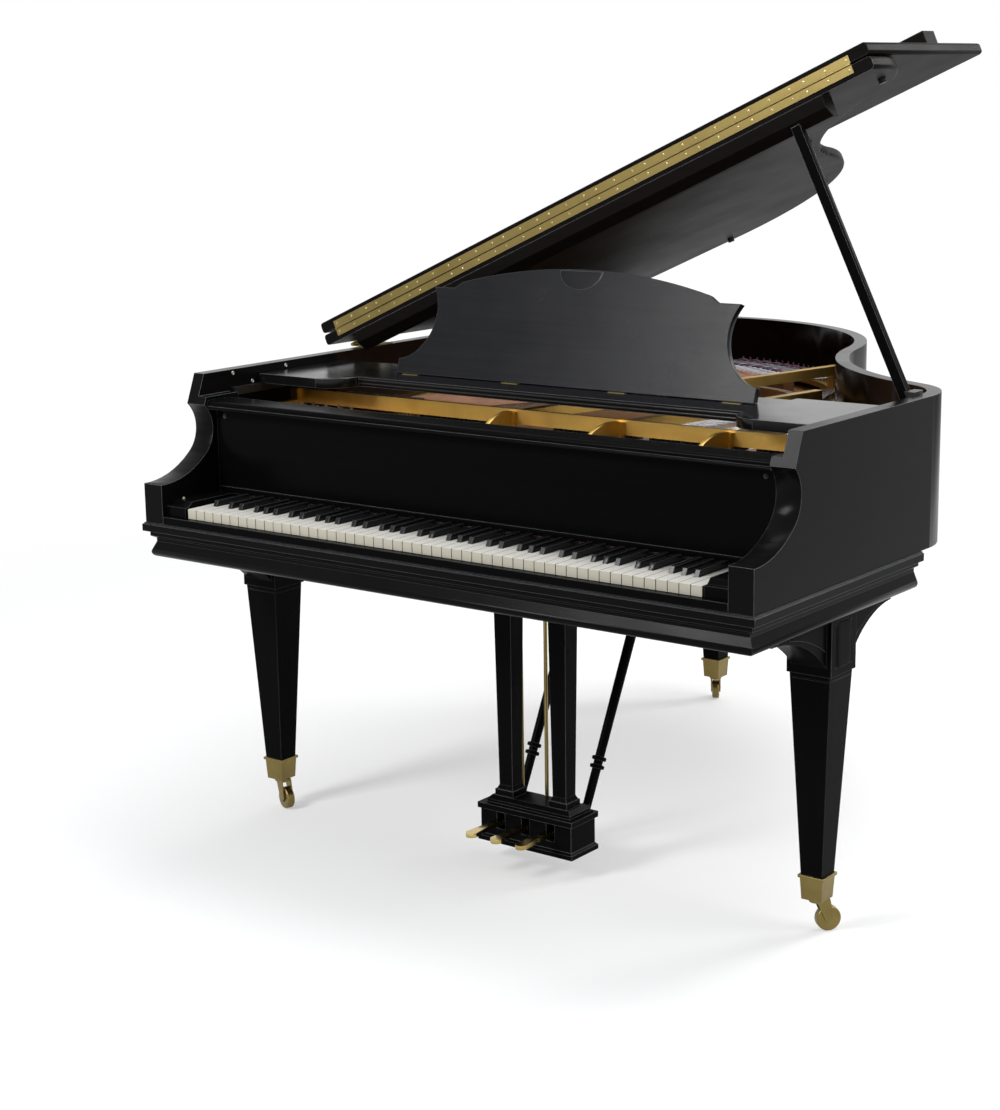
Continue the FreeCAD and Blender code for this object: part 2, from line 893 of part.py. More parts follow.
def strut_lines():
    """Front foot, wall point and hitch point of the plate struts, in the breaks between sections."""
    lines = []
    treble = treble_lines()
    base = 0
    for count, share in zip(treble_section_counts, strut_hitch_shares):
        base += count
        middle = []
        for y in (wall_y - gusset_reach, wall_y):
            spots = [front + (back - front) * ((y - front.y) / (back.y - front.y))
                     for front, back in (treble[base - 1], treble[base])]
            middle.append(V((spots[0].x + spots[1].x) / 2, y, 0))
        lines.append((middle[0], middle[1], hitch_at(share)))
    return lines


def make_plate_bolts():
    top = plate_bottom + plate_thick
    low = board_bottom + board_thick
    wire = case_wire(bolt_inset, plate_back_y)
    ring = wire.discretize(Number=bolt_ring_points)
    spots = [p for p in ring if p.y > belly_rail_y + belly_rail_depth][::bolt_skip_count]
    bolts = []
    for spot in spots:
        bolts.append(Part.makeCylinder(bolt_head_radius, bolt_head_height, V(spot.x, spot.y, top)))
        bolts.append(Part.makeCylinder(bolt_head_radius, plate_bottom - low, V(spot.x, spot.y, low)))
    return group(bolts)


def make_pinblock():
    side = half_width - rim_wall
    return box(-side, side, arm_back_y, plate_back_y - plate_edge, pinblock_bottom, plate_bottom)


# Keys and action

black_classes = (1, 3, 6, 8, 10)
lowest_note_index = 9
octave_note_count = 12
sharp_offset_shares = {1: -1, 3: 1, 6: -1, 8: 0, 10: 1}


def key_layout():
    """Every key as (is black, centre x or slot index), from the bass end."""
    keys = []
    slot = 0
    left = -white_key_count * key_pitch / 2
    for note in range(key_count):
        name = (note + lowest_note_index) % octave_note_count
        if name in black_classes:
            x = left + slot * key_pitch + sharp_offset_shares[name] * sharp_offset
            keys.append((True, x, slot))
        else:
            keys.append((False, left + (slot + 0.5) * key_pitch, slot))
            slot += 1
    return keys


layout = key_layout()
key_low = key_top - key_thick


def white_key(note):
    center = layout[note][1]
    x0 = center - (key_pitch - key_gap) / 2
    x1 = center + (key_pitch - key_gap) / 2
    head = key_front_y + key_head_length
    room = sharp_width / 2 + sharp_relief
    t0 = x0
    t1 = x1
    if note > 0 and layout[note - 1][0]:
        t0 = max(x0, layout[note - 1][1] + room)
    if note < key_count - 1 and layout[note + 1][0]:
        t1 = min(x1, layout[note + 1][1] - room)
    points = [(x0, key_front_y), (x1, key_front_y), (x1, head)]
    if t1 < x1:
        points.append((t1, head))
    points += [(t1, key_back_y), (t0, key_back_y)]
    if t0 > x0:
        points.append((t0, head))
    points.append((x0, head))
    clean = [p for i, p in enumerate(points) if p != points[i - 1]]
    return prism_z(clean, key_low, key_top)


def black_key(note):
    x = layout[note][1]
    start = key_front_y + key_head_length + sharp_relief
    end = start + sharp_length
    top = key_top + sharp_rise
    shape = [(start, key_low), (start, key_top), (start + sharp_slope, top), (end, top), (end, key_top),
             (key_back_y, key_top), (key_back_y, key_low)]
    return prism_x(shape, x - sharp_width / 2, x + sharp_width / 2)


white_notes = [n for n in range(key_count) if not layout[n][0]]
black_notes = [n for n in range(key_count) if layout[n][0]]
key_sets = {
    "keys_white_odd": white_notes[0::2],
    "keys_white_even": white_notes[1::2],
    "keys_black": black_notes,
}


def make_keys(notes):
    return group([black_key(n) if layout[n][0] else white_key(n) for n in notes])


def make_key_frame():
    low = rim_bottom + frame_gap
    rails = [
        box(-frame_half, frame_half, balance_y - balance_half, balance_y + balance_half, low,
            key_low - balance_gap),
        box(-frame_half, frame_half, key_back_y - frame_rail_depth, key_back_y, low, key_low - balance_gap),
    ]
    front = white_key_count * key_pitch / 2
    y0 = key_front_y + sharp_relief
    rails.append(box(-front, front, y0, y0 + frame_rail_depth, low, low + frame_rail_height))
    for i in range(frame_slat_count):
        x = mix(-front, front - frame_slat_width, i / (frame_slat_count - 1))
        rails.append(box(x, x + frame_slat_width, y0, key_back_y, low, low + frame_rail_height))
    return fused(rails)


def hammer_x(note):
    return (note - (key_count - 1) / 2) * white_key_count * key_pitch / key_count


def make_hammer(note):
    """Shank and felted head, drawn as it strikes and then let down to rest."""
    x = hammer_x(note)
    start = V(x, hammer_pivot_y, hammer_pivot_z)
    end = V(x, hammer_pivot_y + hammer_reach, hammer_pivot_z)
    shank = rod(start, end, shank_radius)
    y0 = end.y - hammer_head_depth / 2
    y1 = end.y + hammer_head_depth / 2
    mid = end.y
    z = hammer_pivot_z
    head = prism_x([(mid - hammer_nose, z - hammer_tail), (mid + hammer_nose, z - hammer_tail),
                    (mid + hammer_nose, z + hammer_rise / 4), (y1, z + hammer_rise / 2),
                    (mid + hammer_nose / 2, z + hammer_rise), (mid - hammer_nose / 2, z + hammer_rise),
                    (y0, z + hammer_rise / 2), (mid - hammer_nose, z + hammer_rise / 4)],
                   x - hammer_width / 2, x + hammer_width / 2)
    side = V(hammer_width / 2, 0, 0)
    pivot = V(x, hammer_pivot_y, hammer_pivot_z)
    butt = rod(pivot - side, pivot + side, butt_radius)
    hammer = fused([shank, head, butt])
    hammer.rotate(V(0, hammer_pivot_y, hammer_pivot_z), RIGHT, -hammer_swing_deg)
    return hammer


def make_hammers(notes):
    return group([make_hammer(n) for n in notes])


def make_action_rail():
    z0 = hammer_pivot_z - hammer_rail_height / 2
    y1 = hammer_pivot_y - butt_radius - butt_gap
    y0 = y1 - hammer_rail_depth
    x1 = frame_half - action_bracket_inset
    pieces = [box(-x1, x1, y0, y1, z0, z0 + hammer_rail_height)]
    for mark in (-1, 1):
        a = mark * x1
        b = mark * (x1 - action_bracket_width)
        shape = [(balance_y + balance_half, key_low - balance_gap), (y1, z0), (y1, z0 + hammer_rail_height),
                 (y0, z0 + hammer_rail_height), (balance_y - balance_half, key_low - balance_gap)]
        pieces.append(prism_x(shape, min(a, b), max(a, b)))
    return fused(pieces)


def damper_x(front, back):
    return front.x + (back.x - front.x) * (damper_y - front.y) / (back.y - front.y)


def make_dampers():
    rail_x = half_width - rim_wall - 2 * seat_gap
    top_rail = damper_rail_z + damper_rail_height
    pieces = [box(-rail_x, rail_x, damper_y - damper_rail_depth / 2, damper_y + damper_rail_depth / 2,
                  damper_rail_z, top_rail)]
    treble = treble_lines()
    pairs = [(treble[i], treble[i + 1], 0, treble_radius) for i in range(undamped_count, len(treble) - 1, 2)]
    bass = bass_lines()
    pairs += [(bass[i], bass[i], bass_lift, bass_radius) for i in range(len(bass))]
    for one, two, lift, radius in pairs:
        x = (damper_x(*one) + damper_x(*two)) / 2
        z = string_z + lift + radius + damper_gap
        wire_x = x if lift == 0 else x + damper_wire_shift
        head = box(x - damper_width / 2, x + damper_width / 2,
                   damper_y - damper_depth / 2, damper_y + damper_depth / 2, z, z + damper_height)
        wire = rod(V(wire_x, damper_y, top_rail), V(wire_x, damper_y, z), damper_wire_radius)
        pieces.append(head)
        pieces.append(wire)
    return group(pieces)


# Fallboard

fall_pivot = V(0, fall_front_y + fall_thick / 2, fall_low + fall_pivot_rise)


def make_fallboard():
    x = half_width - arm_wall - fall_end_gap
    board = box(-x, x, fall_front_y, fall_front_y + fall_thick, fall_low, fall_top)
    pieces = [board]
    for mark in (-1, 1):
        start = V(mark * (x - fall_pin_bite), fall_pivot.y, fall_pivot.z)
        end = V(mark * (half_width - arm_wall + fall_pin_bite), fall_pivot.y, fall_pivot.z)
        pieces.append(rod(start, end, fall_pin_radius))
    return fused(pieces)


# Music shelf and desk

def make_music_shelf():
    low = shelf_top - shelf_thick
    wing = [(wing_inner_x, wing_front_y + wing_chamfer), (wing_inner_x + wing_chamfer, wing_front_y),
            (shelf_half, wing_front_y), (shelf_half, wing_back_y), (wing_inner_x, wing_back_y)]
    right = prism_z(wing, low, shelf_top)
    bar = box(-wing_inner_x, wing_inner_x, bar_front_y, bar_back_y, low, shelf_top)
    pieces = [bar, right, mirrored(right)]
    lean = math.tan(math.radians(desk_lean_deg))
    back = desk_y + (desk_thick + seat_gap) / math.cos(math.radians(desk_lean_deg))
    wedge = [(back + seat_gap, shelf_top), (back + desk_rest_foot, shelf_top),
             (back + seat_gap + desk_rest_height * lean + desk_leaf_thick, shelf_top + desk_rest_height),
             (back + seat_gap + desk_rest_height * lean, shelf_top + desk_rest_height)]
    for mark in (-1, 1):
        x = mark * desk_rest_x
        pieces.append(prism_x(wedge, x - desk_rest_half, x + desk_rest_half))
    return fused(pieces)


desk_pivot = V(0, desk_y, shelf_top + desk_hinge_rise)


def make_music_desk():
    """Shaped board: splayed foot, waisted sides, ears and an arched crown, leaned back on its hinges."""
    def at(x, h):
        return V(x, desk_y, shelf_top + desk_hinge_rise + h)

    def side(mark):
        foot = Part.makeLine(at(mark * desk_foot_half, 0), at(mark * desk_foot_half, desk_foot_height))
        knee_x = mix(desk_foot_half, desk_knee_half, desk_knee_shares[0])
        knee_h = mix(desk_foot_height, desk_knee_height, desk_knee_shares[1])
        knee = Part.Arc(at(mark * desk_foot_half, desk_foot_height), at(mark * knee_x, knee_h),
                        at(mark * desk_knee_half, desk_knee_height))
        waist_arc = Part.Arc(at(mark * desk_knee_half, desk_knee_height),
                             at(mark * desk_waist_half, desk_waist_height),
                             at(mark * desk_ear_half, desk_ear_height))
        ear = Part.makeLine(at(mark * desk_ear_half, desk_ear_height),
                            at(mark * desk_ear_inner_half, desk_ear_height))
        rise = Part.makeLine(at(mark * desk_ear_inner_half, desk_ear_height),
                             at(mark * desk_shoulder_half, desk_shoulder_height))
        return [foot, knee.toShape(), waist_arc.toShape(), ear, rise]

    crown = Part.Arc(at(-desk_shoulder_half, desk_shoulder_height), at(0, desk_crown_height),
                     at(desk_shoulder_half, desk_shoulder_height)).toShape()
    bottom = Part.makeLine(at(-desk_foot_half, 0), at(desk_foot_half, 0))
    ring = Part.Wire(Part.__sortEdges__(side(1) + side(-1) + [crown, bottom]))
    board = Part.Face(ring).extrude(BACK * desk_thick)
    board.rotate(desk_pivot, RIGHT, -desk_lean_deg)
    low = shelf_top + desk_foot_gap
    return board.cut(box(-half_width, half_width, 0, rim_length, shelf_top - overrun, low))


def make_desk_hinges():
    leaves = []
    for share in desk_leaf_x_shares:
        x = share * desk_foot_half
        y1 = desk_y - seat_gap
        leaves.append(box(x - desk_leaf_half, x + desk_leaf_half, y1 - desk_leaf_depth, y1,
                          shelf_top, shelf_top + desk_leaf_thick))
    return group(leaves)


# Lid, drawn closed and then swung open about the spine hinges

lid_low = rim_top + lid_gap
lid_top = lid_low + lid_thick
spine_axis = V(-half_width - lid_overhang - lid_hinge_out, 0, rim_top + lid_gap / 2)
barrel = V(0, lid_joint_y, lid_top + barrel_radius)


def opened(shape):
    turned = shape.copy()
    turned.rotate(spine_axis, BACK, -lid_open_deg)
    return turned


def folded(shape):
    """Lay a flap piece, drawn flush with the lid, back on top of it."""
    turned = shape.copy()
    turned.rotate(barrel, RIGHT, -180)
    return turned


def rounded_lid(sheet, joint_y):
    """Lid board with every long edge rounded, but for those of its hinged side."""
    edges = [e for e in sheet.Edges if abs(e.CenterOfMass.y - joint_y) > seat_gap
             and e.BoundBox.ZLength < seat_gap]
    return sheet.makeFillet(lid_round, edges)


def make_lid_main():
    front = lid_joint_y + lid_joint_gap
    return opened(rounded_lid(case_solid(-lid_overhang, front, lid_low, lid_top), front))


def make_lid_flap():
    x = half_width + lid_overhang
    back = lid_joint_y - lid_joint_gap
    return opened(folded(rounded_lid(box(-x, x, flap_front_y, back, lid_low, lid_top), back)))


def make_drop_rail():
    y1 = drop_rail_front_y + drop_rail_thick
    rail = box(-drop_rail_half, drop_rail_half, drop_rail_front_y, y1, lid_low - drop_rail_depth, lid_low)
    return opened(folded(rail))


def make_batten():
    y0 = lid_joint_y + lid_joint_gap
    y1 = y0 + batten_thick
    low = lid_low - batten_depth
    shape = [(y0, lid_low), (y0, low + batten_bevel), (y0 + batten_bevel, low), (y1, low), (y1, lid_low)]
    return opened(prism_x(shape, batten_left_x, batten_right_x))


def knuckle_spans():
    """Start and end of each knuckle along the continuous hinge."""
    x0 = leaf_end_inset - half_width
    step = -2 * x0 / knuckle_count
    half_gap = knuckle_gap / 2
    return [(x0 + i * step + half_gap, x0 + (i + 1) * step - half_gap) for i in range(knuckle_count)]


def hinge_leaf(first, side):
    """Leaf let onto one edge, with every other knuckle; side is 1 for the lid and -1 for the flap."""
    x0 = leaf_end_inset - half_width
    edge = lid_joint_y + side * lid_joint_gap
    face = edge - side * leaf_thick
    y0 = min(edge, face)
    y1 = max(edge, face)
    top = lid_top - knuckle_gap
    pieces = [box(x0, -x0, y0, y1, lid_top - leaf_height, top)]
    for a, b in knuckle_spans()[first::2]:
        pieces.append(rod(V(a, barrel.y, barrel.z), V(b, barrel.y, barrel.z), barrel_radius))
        pieces.append(box(a, b, y0, y1, top, barrel.z))
    return fused(pieces)


def make_hinge_leaf_lid():
    x0 = leaf_end_inset - half_width
    pin = rod(V(x0, barrel.y, barrel.z), V(-x0, barrel.y, barrel.z), barrel_pin_radius)
    return opened(fused([hinge_leaf(0, 1), pin]))


def make_hinge_leaf_flap():
    x0 = leaf_end_inset - half_width
    bore = rod(V(x0, barrel.y, barrel.z), V(-x0, barrel.y, barrel.z), barrel_pin_radius + running_gap)
    return opened(folded(hinge_leaf(1, -1).cut(bore)))


def spine_hinge(y, fixed):
    """One half of a butt hinge in the gap under the lid; the fixed half carries the pin."""
    x0 = spine_axis.x
    third = 2 * spine_hinge_half / 3
    front = y - spine_hinge_half
    ends = [front, front + third, front + 2 * third, front + 3 * third]
    if fixed:
        z0 = rim_top
        spans = [(ends[0], ends[1] - knuckle_gap), (ends[2] + knuckle_gap, ends[3])]
    else:
        z0 = lid_low - spine_leaf_thick
        spans = [(ends[1], ends[2])]
    inner = x0 + spine_barrel_radius + knuckle_gap
    leaf = box(inner, x0 + spine_leaf_reach, ends[0], ends[3], z0, z0 + spine_leaf_thick)
    pieces = [leaf]
    for a, b in spans:
        pieces.append(rod(V(x0, a, spine_axis.z), V(x0, b, spine_axis.z), spine_barrel_radius))
        pieces.append(box(x0, inner, a, b, z0, z0 + spine_leaf_thick))
    solid = fused(pieces)
    start = V(x0, ends[0], spine_axis.z)
    end = V(x0, ends[3], spine_axis.z)
    if fixed:
        return fused([solid, rod(start, end, spine_pin_radius)])
    return solid.cut(rod(start, end, spine_pin_radius + running_gap))


def make_spine_hinges(fixed):
    halves = [spine_hinge(share * rim_length, fixed) for share in spine_hinge_y_shares]
    if fixed:
        return group(halves)
    return group([opened(half) for half in halves])


bumper_spots = (
    on_circle(corner_center, corner_radius - bumper_inset, bend / 2),
    on_circle(hollow_center, hollow_radius + bumper_inset, math.pi + (bend + waist) / 2),
    on_circle(tail_center, tail_radius - bumper_inset, math.pi / 4),
    V(tail_center_x, rim_length - bumper_inset, 0),
)


def make_lid_bumpers():
    height = lid_gap - bumper_clear
    bumpers = []
    for spot in bumper_spots:
        foot = V(spot.x, spot.y, lid_low - height)
        bumpers.append(opened(Part.makeCylinder(bumper_radius, height, foot)))
    return group(bumpers)


# Lid prop, swinging forward and down beside the shelf as the lid comes down

prop_pivot_y = corner_start_y - prop_pivot_before_corner
prop_pivot = V(half_width - rim_wall - prop_pivot_in, prop_pivot_y, rim_top - prop_pivot_drop)
head_closed = V(half_width - prop_head_inset, lid_joint_y + prop_head_behind_joint,
                lid_low - batten_depth + prop_head_lift)
prop_head = spine_axis + FreeCAD.Rotation(BACK, -lid_open_deg).multVec(head_closed - spine_axis)
prop_up = prop_head - prop_pivot
prop_reach = prop_up.Length
prop_up.normalize()
prop_down = V(prop_fold_x_share, -1, 0)
prop_down.normalize()
prop_axis = prop_up.cross(prop_down)
prop_axis.normalize()
prop_face = prop_axis.cross(prop_up)


def prop_bar(start, end, half_width_, half_thick, shift):
    """Square bar along the raised prop, shifted off its middle along the prop's face."""
    a = prop_pivot + prop_up * start + prop_face * shift
    run = prop_up * (end - start)
    w = prop_axis * half_width_
    t = prop_face * half_thick
    return polygon([a - w - t, a + w - t, a + w + t, a - w + t]).extrude(run)


def batten_shadow():
    """The batten and everything above its lower faces, grown by the prop's clearance."""
    y1 = lid_joint_y + lid_joint_gap + batten_thick + overrun
    low = lid_low - batten_depth - prop_clear
    front = lid_joint_y + lid_joint_gap - prop_clear
    top = lid_top + overrun
    shape = [(front, top), (front, low + batten_bevel), (front + batten_bevel, low), (y1, low), (y1, top)]
    return opened(prism_x(shape, 0, half_width))


short_shift = prop_thick / 2 - short_prop_thick / 2 + short_prop_gap
short_pivot = prop_pivot + prop_up * short_prop_start - prop_face * short_shift


def make_lid_prop():
    """Square stick, grooved behind for the short prop, its end cut to bear on the batten."""
    stick = prop_bar(-prop_foot, prop_reach + prop_stretch, prop_width / 2, prop_thick / 2, 0)
    stick = stick.cut(batten_shadow())
    far = prop_axis * prop_width
    stick = stick.cut(rod(prop_pivot - far, prop_pivot + far, prop_pin_radius + running_gap))
    groove_end = short_prop_start + short_prop_length + short_prop_gap
    groove = prop_bar(short_prop_start - short_prop_thick, groove_end,
                      short_prop_thick / 2 + short_prop_gap, short_prop_thick, -prop_thick / 2)
    across = prop_axis * short_prop_thick
    pin = rod(short_pivot - across, short_pivot + across, short_pin_radius)
    return fused([stick.cut(groove), pin])


def make_short_prop():
    half = short_prop_thick / 2 - short_prop_gap
    bar = prop_bar(short_prop_start - short_prop_foot, short_prop_start + short_prop_length, half, half,
                   -short_shift)
    across = prop_axis * short_prop_thick
    return bar.cut(rod(short_pivot - across, short_pivot + across, short_pin_radius + running_gap))


def make_prop_bracket():
    """Cheek on the inside of the rim that carries the prop's pin, faced square to the pin."""
    x1 = half_width - rim_wall
    cheek = box(x1 - bracket_reach, x1, prop_pivot_y - bracket_half, prop_pivot_y + bracket_half,
                bracket_low, lid_low - bracket_head_gap)
    clear = prop_width / 2 + prop_clear
    deep = bracket_reach * 4
    start = prop_pivot - prop_up * prop_reach + prop_axis * (clear - deep)
    side = prop_face * prop_reach
    tall = prop_up * (2 * prop_reach)
    keep_out = polygon([start - side, start + side, start + side + tall, start - side + tall])
    cheek = cheek.cut(keep_out.extrude(prop_axis * deep))
    cheek = cheek.common(case_solid(rim_wall + seat_gap, arm_back_y, bracket_low, lid_low))
    pin_end = prop_pivot + prop_axis * (clear + bracket_bite)
    pin = rod(prop_pivot - prop_axis * clear, pin_end, prop_pin_radius)
    return fused([cheek, pin])


# Legs and casters

def make_leg(cx, cy, top, outer):
    """Tapered square leg: capital, corbels towards front and back, panel lines on its outer face."""
    pieces = [loft_square(cx, cy, shaft_low_half, ferrule_top, shaft_top_half, capital_low)]
    head = top - seat_gap
    pieces.append(box(cx - capital_half, cx + capital_half, cy - capital_half, cy + capital_half,
                      capital_low, head))
    if outer == 0:
        return fused(pieces)
    for mark, reach in ((-1, corbel_front_reach), (1, corbel_back_reach)):
        tip = cy + mark * reach
        root = cy + mark * (capital_half - panel_groove)
        foot = head - corbel_drop
        a = V(cx - corbel_half, tip, head - corbel_lip)
        b = V(cx - corbel_half, mix(root, tip, corbel_curve_share), mix(foot, head, 1 - corbel_curve_share))
        c = V(cx - corbel_half, root, foot)
        curve = Part.Arc(a, b, c).toShape()
        d = V(cx - corbel_half, root, head)
        e = V(cx - corbel_half, tip, head)
        ring = Part.Wire([curve, Part.makeLine(c, d), Part.makeLine(d, e), Part.makeLine(e, a)])
        pieces.append(Part.Face(ring).extrude(RIGHT * (2 * corbel_half)))
    leg = fused(pieces)
    face = cx + outer * capital_half
    for y0, y1 in ((cy - capital_half + panel_inset, cy - capital_half + panel_inset + panel_line),
                   (cy + capital_half - panel_inset - panel_line, cy + capital_half - panel_inset)):
        leg = leg.cut(box(min(face, face - outer * panel_groove), max(face, face - outer * panel_groove),
                          y0, y1, capital_low + panel_inset, head - panel_inset))
    return leg


leg_spots = ((left_leg_x, left_leg_y, left_caster_deg), (leg_x, leg_y, right_caster_deg),
             (tail_leg_x, tail_leg_y, tail_caster_deg))


def make_ferrules():
    ferrules = []
    for cx, cy, turn_deg in leg_spots:
        lip_low = ferrule_top - ferrule_lip_height
        cup = loft_square(cx, cy, ferrule_low_half, ferrule_low, ferrule_half, lip_low)
        lip = box(cx - ferrule_lip_half, cx + ferrule_lip_half, cy - ferrule_lip_half, cy + ferrule_lip_half,
                  lip_low, ferrule_top)
        bore = Part.makeCylinder(fork_stem_radius + running_gap, fork_stem_length + seat_gap,
                                 V(cx, cy, ferrule_low))
        ferrules.append(fused([cup, lip]).cut(bore))
    return group(ferrules)


def caster_place(shape, spot):
    cx, cy, turn_deg = spot
    placed = shape.copy()
    placed.rotate(V(0, 0, 0), UP, turn_deg)
    placed.translate(V(cx, cy, 0))
    return placed


def make_fork(spot):
    top = ferrule_low - fork_gap
    low = top - fork_plate_thick
    cheek_y = wheel_width / 2 + wheel_side_gap
    pieces = [Part.makeCylinder(fork_stem_radius, fork_stem_length + fork_gap, V(0, 0, top)),
              Part.makeCylinder(fork_plate_radius, fork_plate_thick, V(0, 0, low)),
              box(0, caster_trail, -cheek_y - fork_cheek_thick, cheek_y + fork_cheek_thick, low, top)]
    for mark in (-1, 1):
        y0 = min(mark * cheek_y, mark * (cheek_y + fork_cheek_thick))
        y1 = max(mark * cheek_y, mark * (cheek_y + fork_cheek_thick))
        ring = polygon([V(-fork_cheek_half / 2, y0, top), V(caster_trail, y0, top),
                        V(caster_trail + fork_cheek_half, y0, wheel_radius),
                        V(caster_trail, y0, wheel_radius - fork_cheek_half),
                        V(caster_trail - fork_cheek_half, y0, wheel_radius)])
        pieces.append(ring.extrude(BACK * (y1 - y0)))
    far = cheek_y + fork_cheek_thick
    pieces.append(rod(V(caster_trail, -far, wheel_radius), V(caster_trail, far, wheel_radius), axle_radius))
    return caster_place(fused(pieces), spot)


def make_wheel(spot):
    half = wheel_width / 2
    tyre = rod(V(caster_trail, -half, wheel_radius), V(caster_trail, half, wheel_radius), wheel_radius)
    rims = [e for e in tyre.Edges if len(e.Vertexes) == 1]
    tyre = tyre.makeFillet(wheel_rim_round, rims)
    bore = rod(V(caster_trail, -wheel_width, wheel_radius), V(caster_trail, wheel_width, wheel_radius),
               axle_radius + running_gap)
    return caster_place(tyre.cut(bore), spot)


# Lyre and pedals

lyre_top = lyre_low + lyre_box_height
lyre_back_y = lyre_front_y + lyre_depth
lyre_mid_y = lyre_front_y + lyre_depth / 2
pedal_xs = (lyre_x - pedal_pitch, lyre_x, lyre_x + pedal_pitch)


def make_lyre():
    x0 = lyre_x - lyre_half
    x1 = lyre_x + lyre_half
    slim = lyre_body_inset
    case = box(x0 + slim, x1 - slim, lyre_front_y + slim, lyre_back_y - slim, lyre_low, lyre_top)
    base = box(x0, x1, lyre_front_y, lyre_back_y, lyre_low, lyre_low + lyre_base_height)
    cap = box(x0, x1, lyre_front_y, lyre_back_y, lyre_top - lyre_cap_height, lyre_top)
    rims = [e for e in base.Edges if abs(e.CenterOfMass.z - lyre_low - lyre_base_height) < seat_gap]
    base = base.makeChamfer(lyre_body_inset - seat_gap, rims)
    plinth = box(x0 + lyre_plinth_inset, x1 - lyre_plinth_inset, lyre_front_y + lyre_plinth_inset,
                 lyre_back_y - lyre_plinth_inset / 2, lyre_top, lyre_top + lyre_plinth_height)
    head_top = base_bottom - seat_gap
    head = box(lyre_x - lyre_head_half, lyre_x + lyre_head_half, lyre_mid_y - lyre_head_depth / 2,
               lyre_mid_y + lyre_head_depth / 2, head_top - lyre_head_height, head_top)
    rims = [e for e in plinth.Edges if abs(e.CenterOfMass.z - lyre_top - lyre_plinth_height) < seat_gap]
    plinth = plinth.makeChamfer(lyre_bevel, rims)
    pieces = [case, base, cap, plinth, head]
    for mark in (-1, 1):
        x = lyre_x + mark * pillar_shift
        pieces.append(loft_square(x, lyre_mid_y, pillar_low_half, lyre_top, pillar_top_half,
                                  head_top - lyre_head_height / 2))
        foot_low = lyre_top + lyre_plinth_height / 2
        foot_top = lyre_top + lyre_plinth_height + pillar_foot_height
        foot_half = pillar_low_half + pillar_foot_out
        pieces.append(box(x - foot_half, x + foot_half, lyre_mid_y - foot_half, lyre_mid_y + foot_half,
                          foot_low, foot_top))
        pieces.append(loft_square(x, lyre_mid_y, foot_half - slim / 2, foot_top, pillar_low_half,
                                  foot_top + pillar_foot_rise))
    frame = fused(pieces)
    hollow_back = lyre_back_y - lyre_wall / 2
    frame = frame.cut(box(x0 + lyre_wall, x1 - lyre_wall, lyre_front_y + lyre_wall, hollow_back,
                          lyre_low + lyre_wall, lyre_top - lyre_wall))
    for x in pedal_xs:
        frame = frame.cut(box(x - pedal_slot_half, x + pedal_slot_half, lyre_front_y - overrun,
                              lyre_front_y + lyre_wall + overrun / 2, pedal_slot_low, pedal_slot_top))
        for z0, z1 in ((lyre_top - lyre_wall - overrun, lyre_top + overrun * 2),
                       (head_top - lyre_head_height - overrun, head_top + overrun)):
            frame = frame.cut(Part.makeCylinder(rod_hole_radius, z1 - z0, V(x, pedal_tail_y, z0)))
    pin = rod(V(x0 + lyre_wall / 2, pedal_pivot_y, pedal_z), V(x1 - lyre_wall / 2, pedal_pivot_y, pedal_z),
              pedal_pin_radius)
    return fused([frame, pin])


def make_braces():
    braces = []
    for mark in (-1, 1):
        x = lyre_x + mark * brace_x
        low = V(x, lyre_back_y + brace_radius + seat_gap, brace_low_z)
        high = V(x, brace_head_y, rim_bottom - seat_gap)
        along_brace = high - low
        reach = along_brace.Length
        along_brace.normalize()
        whole = [Part.makeCone(brace_radius, brace_head_radius, reach, low, along_brace)]
        first = mix(low, high, brace_ring_share)
        for start in (first, first + along_brace * (brace_ring_length + brace_ring_gap)):
            ring = rod(start, start + along_brace * brace_ring_length, brace_ring_radius)
            rims = [e for e in ring.Edges if len(e.Vertexes) == 1]
            whole.append(ring.makeFillet(brace_ring_length / 3, rims))
        whole = fused(whole)
        wide = overrun * 2
        whole = whole.cut(box(x - wide, x + wide, brace_head_y - brace_x, brace_head_y + brace_x,
                              rim_bottom - seat_gap, rim_bottom + wide))
        shoe = box(x - brace_radius, x + brace_radius, lyre_back_y + seat_gap, low.y,
                   brace_low_z - brace_radius, brace_low_z + brace_radius)
        whole = fused([whole, shoe])
        braces.append(whole.cut(box(x - wide, x + wide, lyre_front_y, lyre_back_y + seat_gap,
                                    lyre_low, lyre_top + wide)))
    return group(braces)


def make_pedal(x):
    z0 = pedal_z - pedal_thick / 2
    tip = [V(x - pedal_neck_half, pedal_tail_y, z0), V(x - pedal_neck_half, pedal_neck_y, z0),
           V(x - pedal_half, pedal_tip_y + pedal_half, z0)]
    other = [V(2 * x - p.x, p.y, p.z) for p in reversed(tip)]
    lines = [Part.makeLine(a, b) for a, b in zip(tip, tip[1:])]
    nose = Part.Arc(tip[-1], V(x, pedal_tip_y, z0), other[0]).toShape()
    lines.append(nose)
    lines += [Part.makeLine(a, b) for a, b in zip(other, other[1:])]
    lines.append(Part.makeLine(other[-1], tip[0]))
    lever = Part.Face(Part.Wire(lines)).extrude(UP * pedal_thick)
    wide = pedal_half * 2
    return lever.cut(rod(V(x - wide, pedal_pivot_y, pedal_z), V(x + wide, pedal_pivot_y, pedal_z),
                         pedal_pin_radius + running_gap))


def make_pedal_rod(x):
    low = pedal_z + pedal_thick / 2 + seat_gap
    return rod(V(x, pedal_tail_y, low), V(x, pedal_tail_y, base_bottom - seat_gap - rod_head_gap), rod_radius)


# All pieces by name

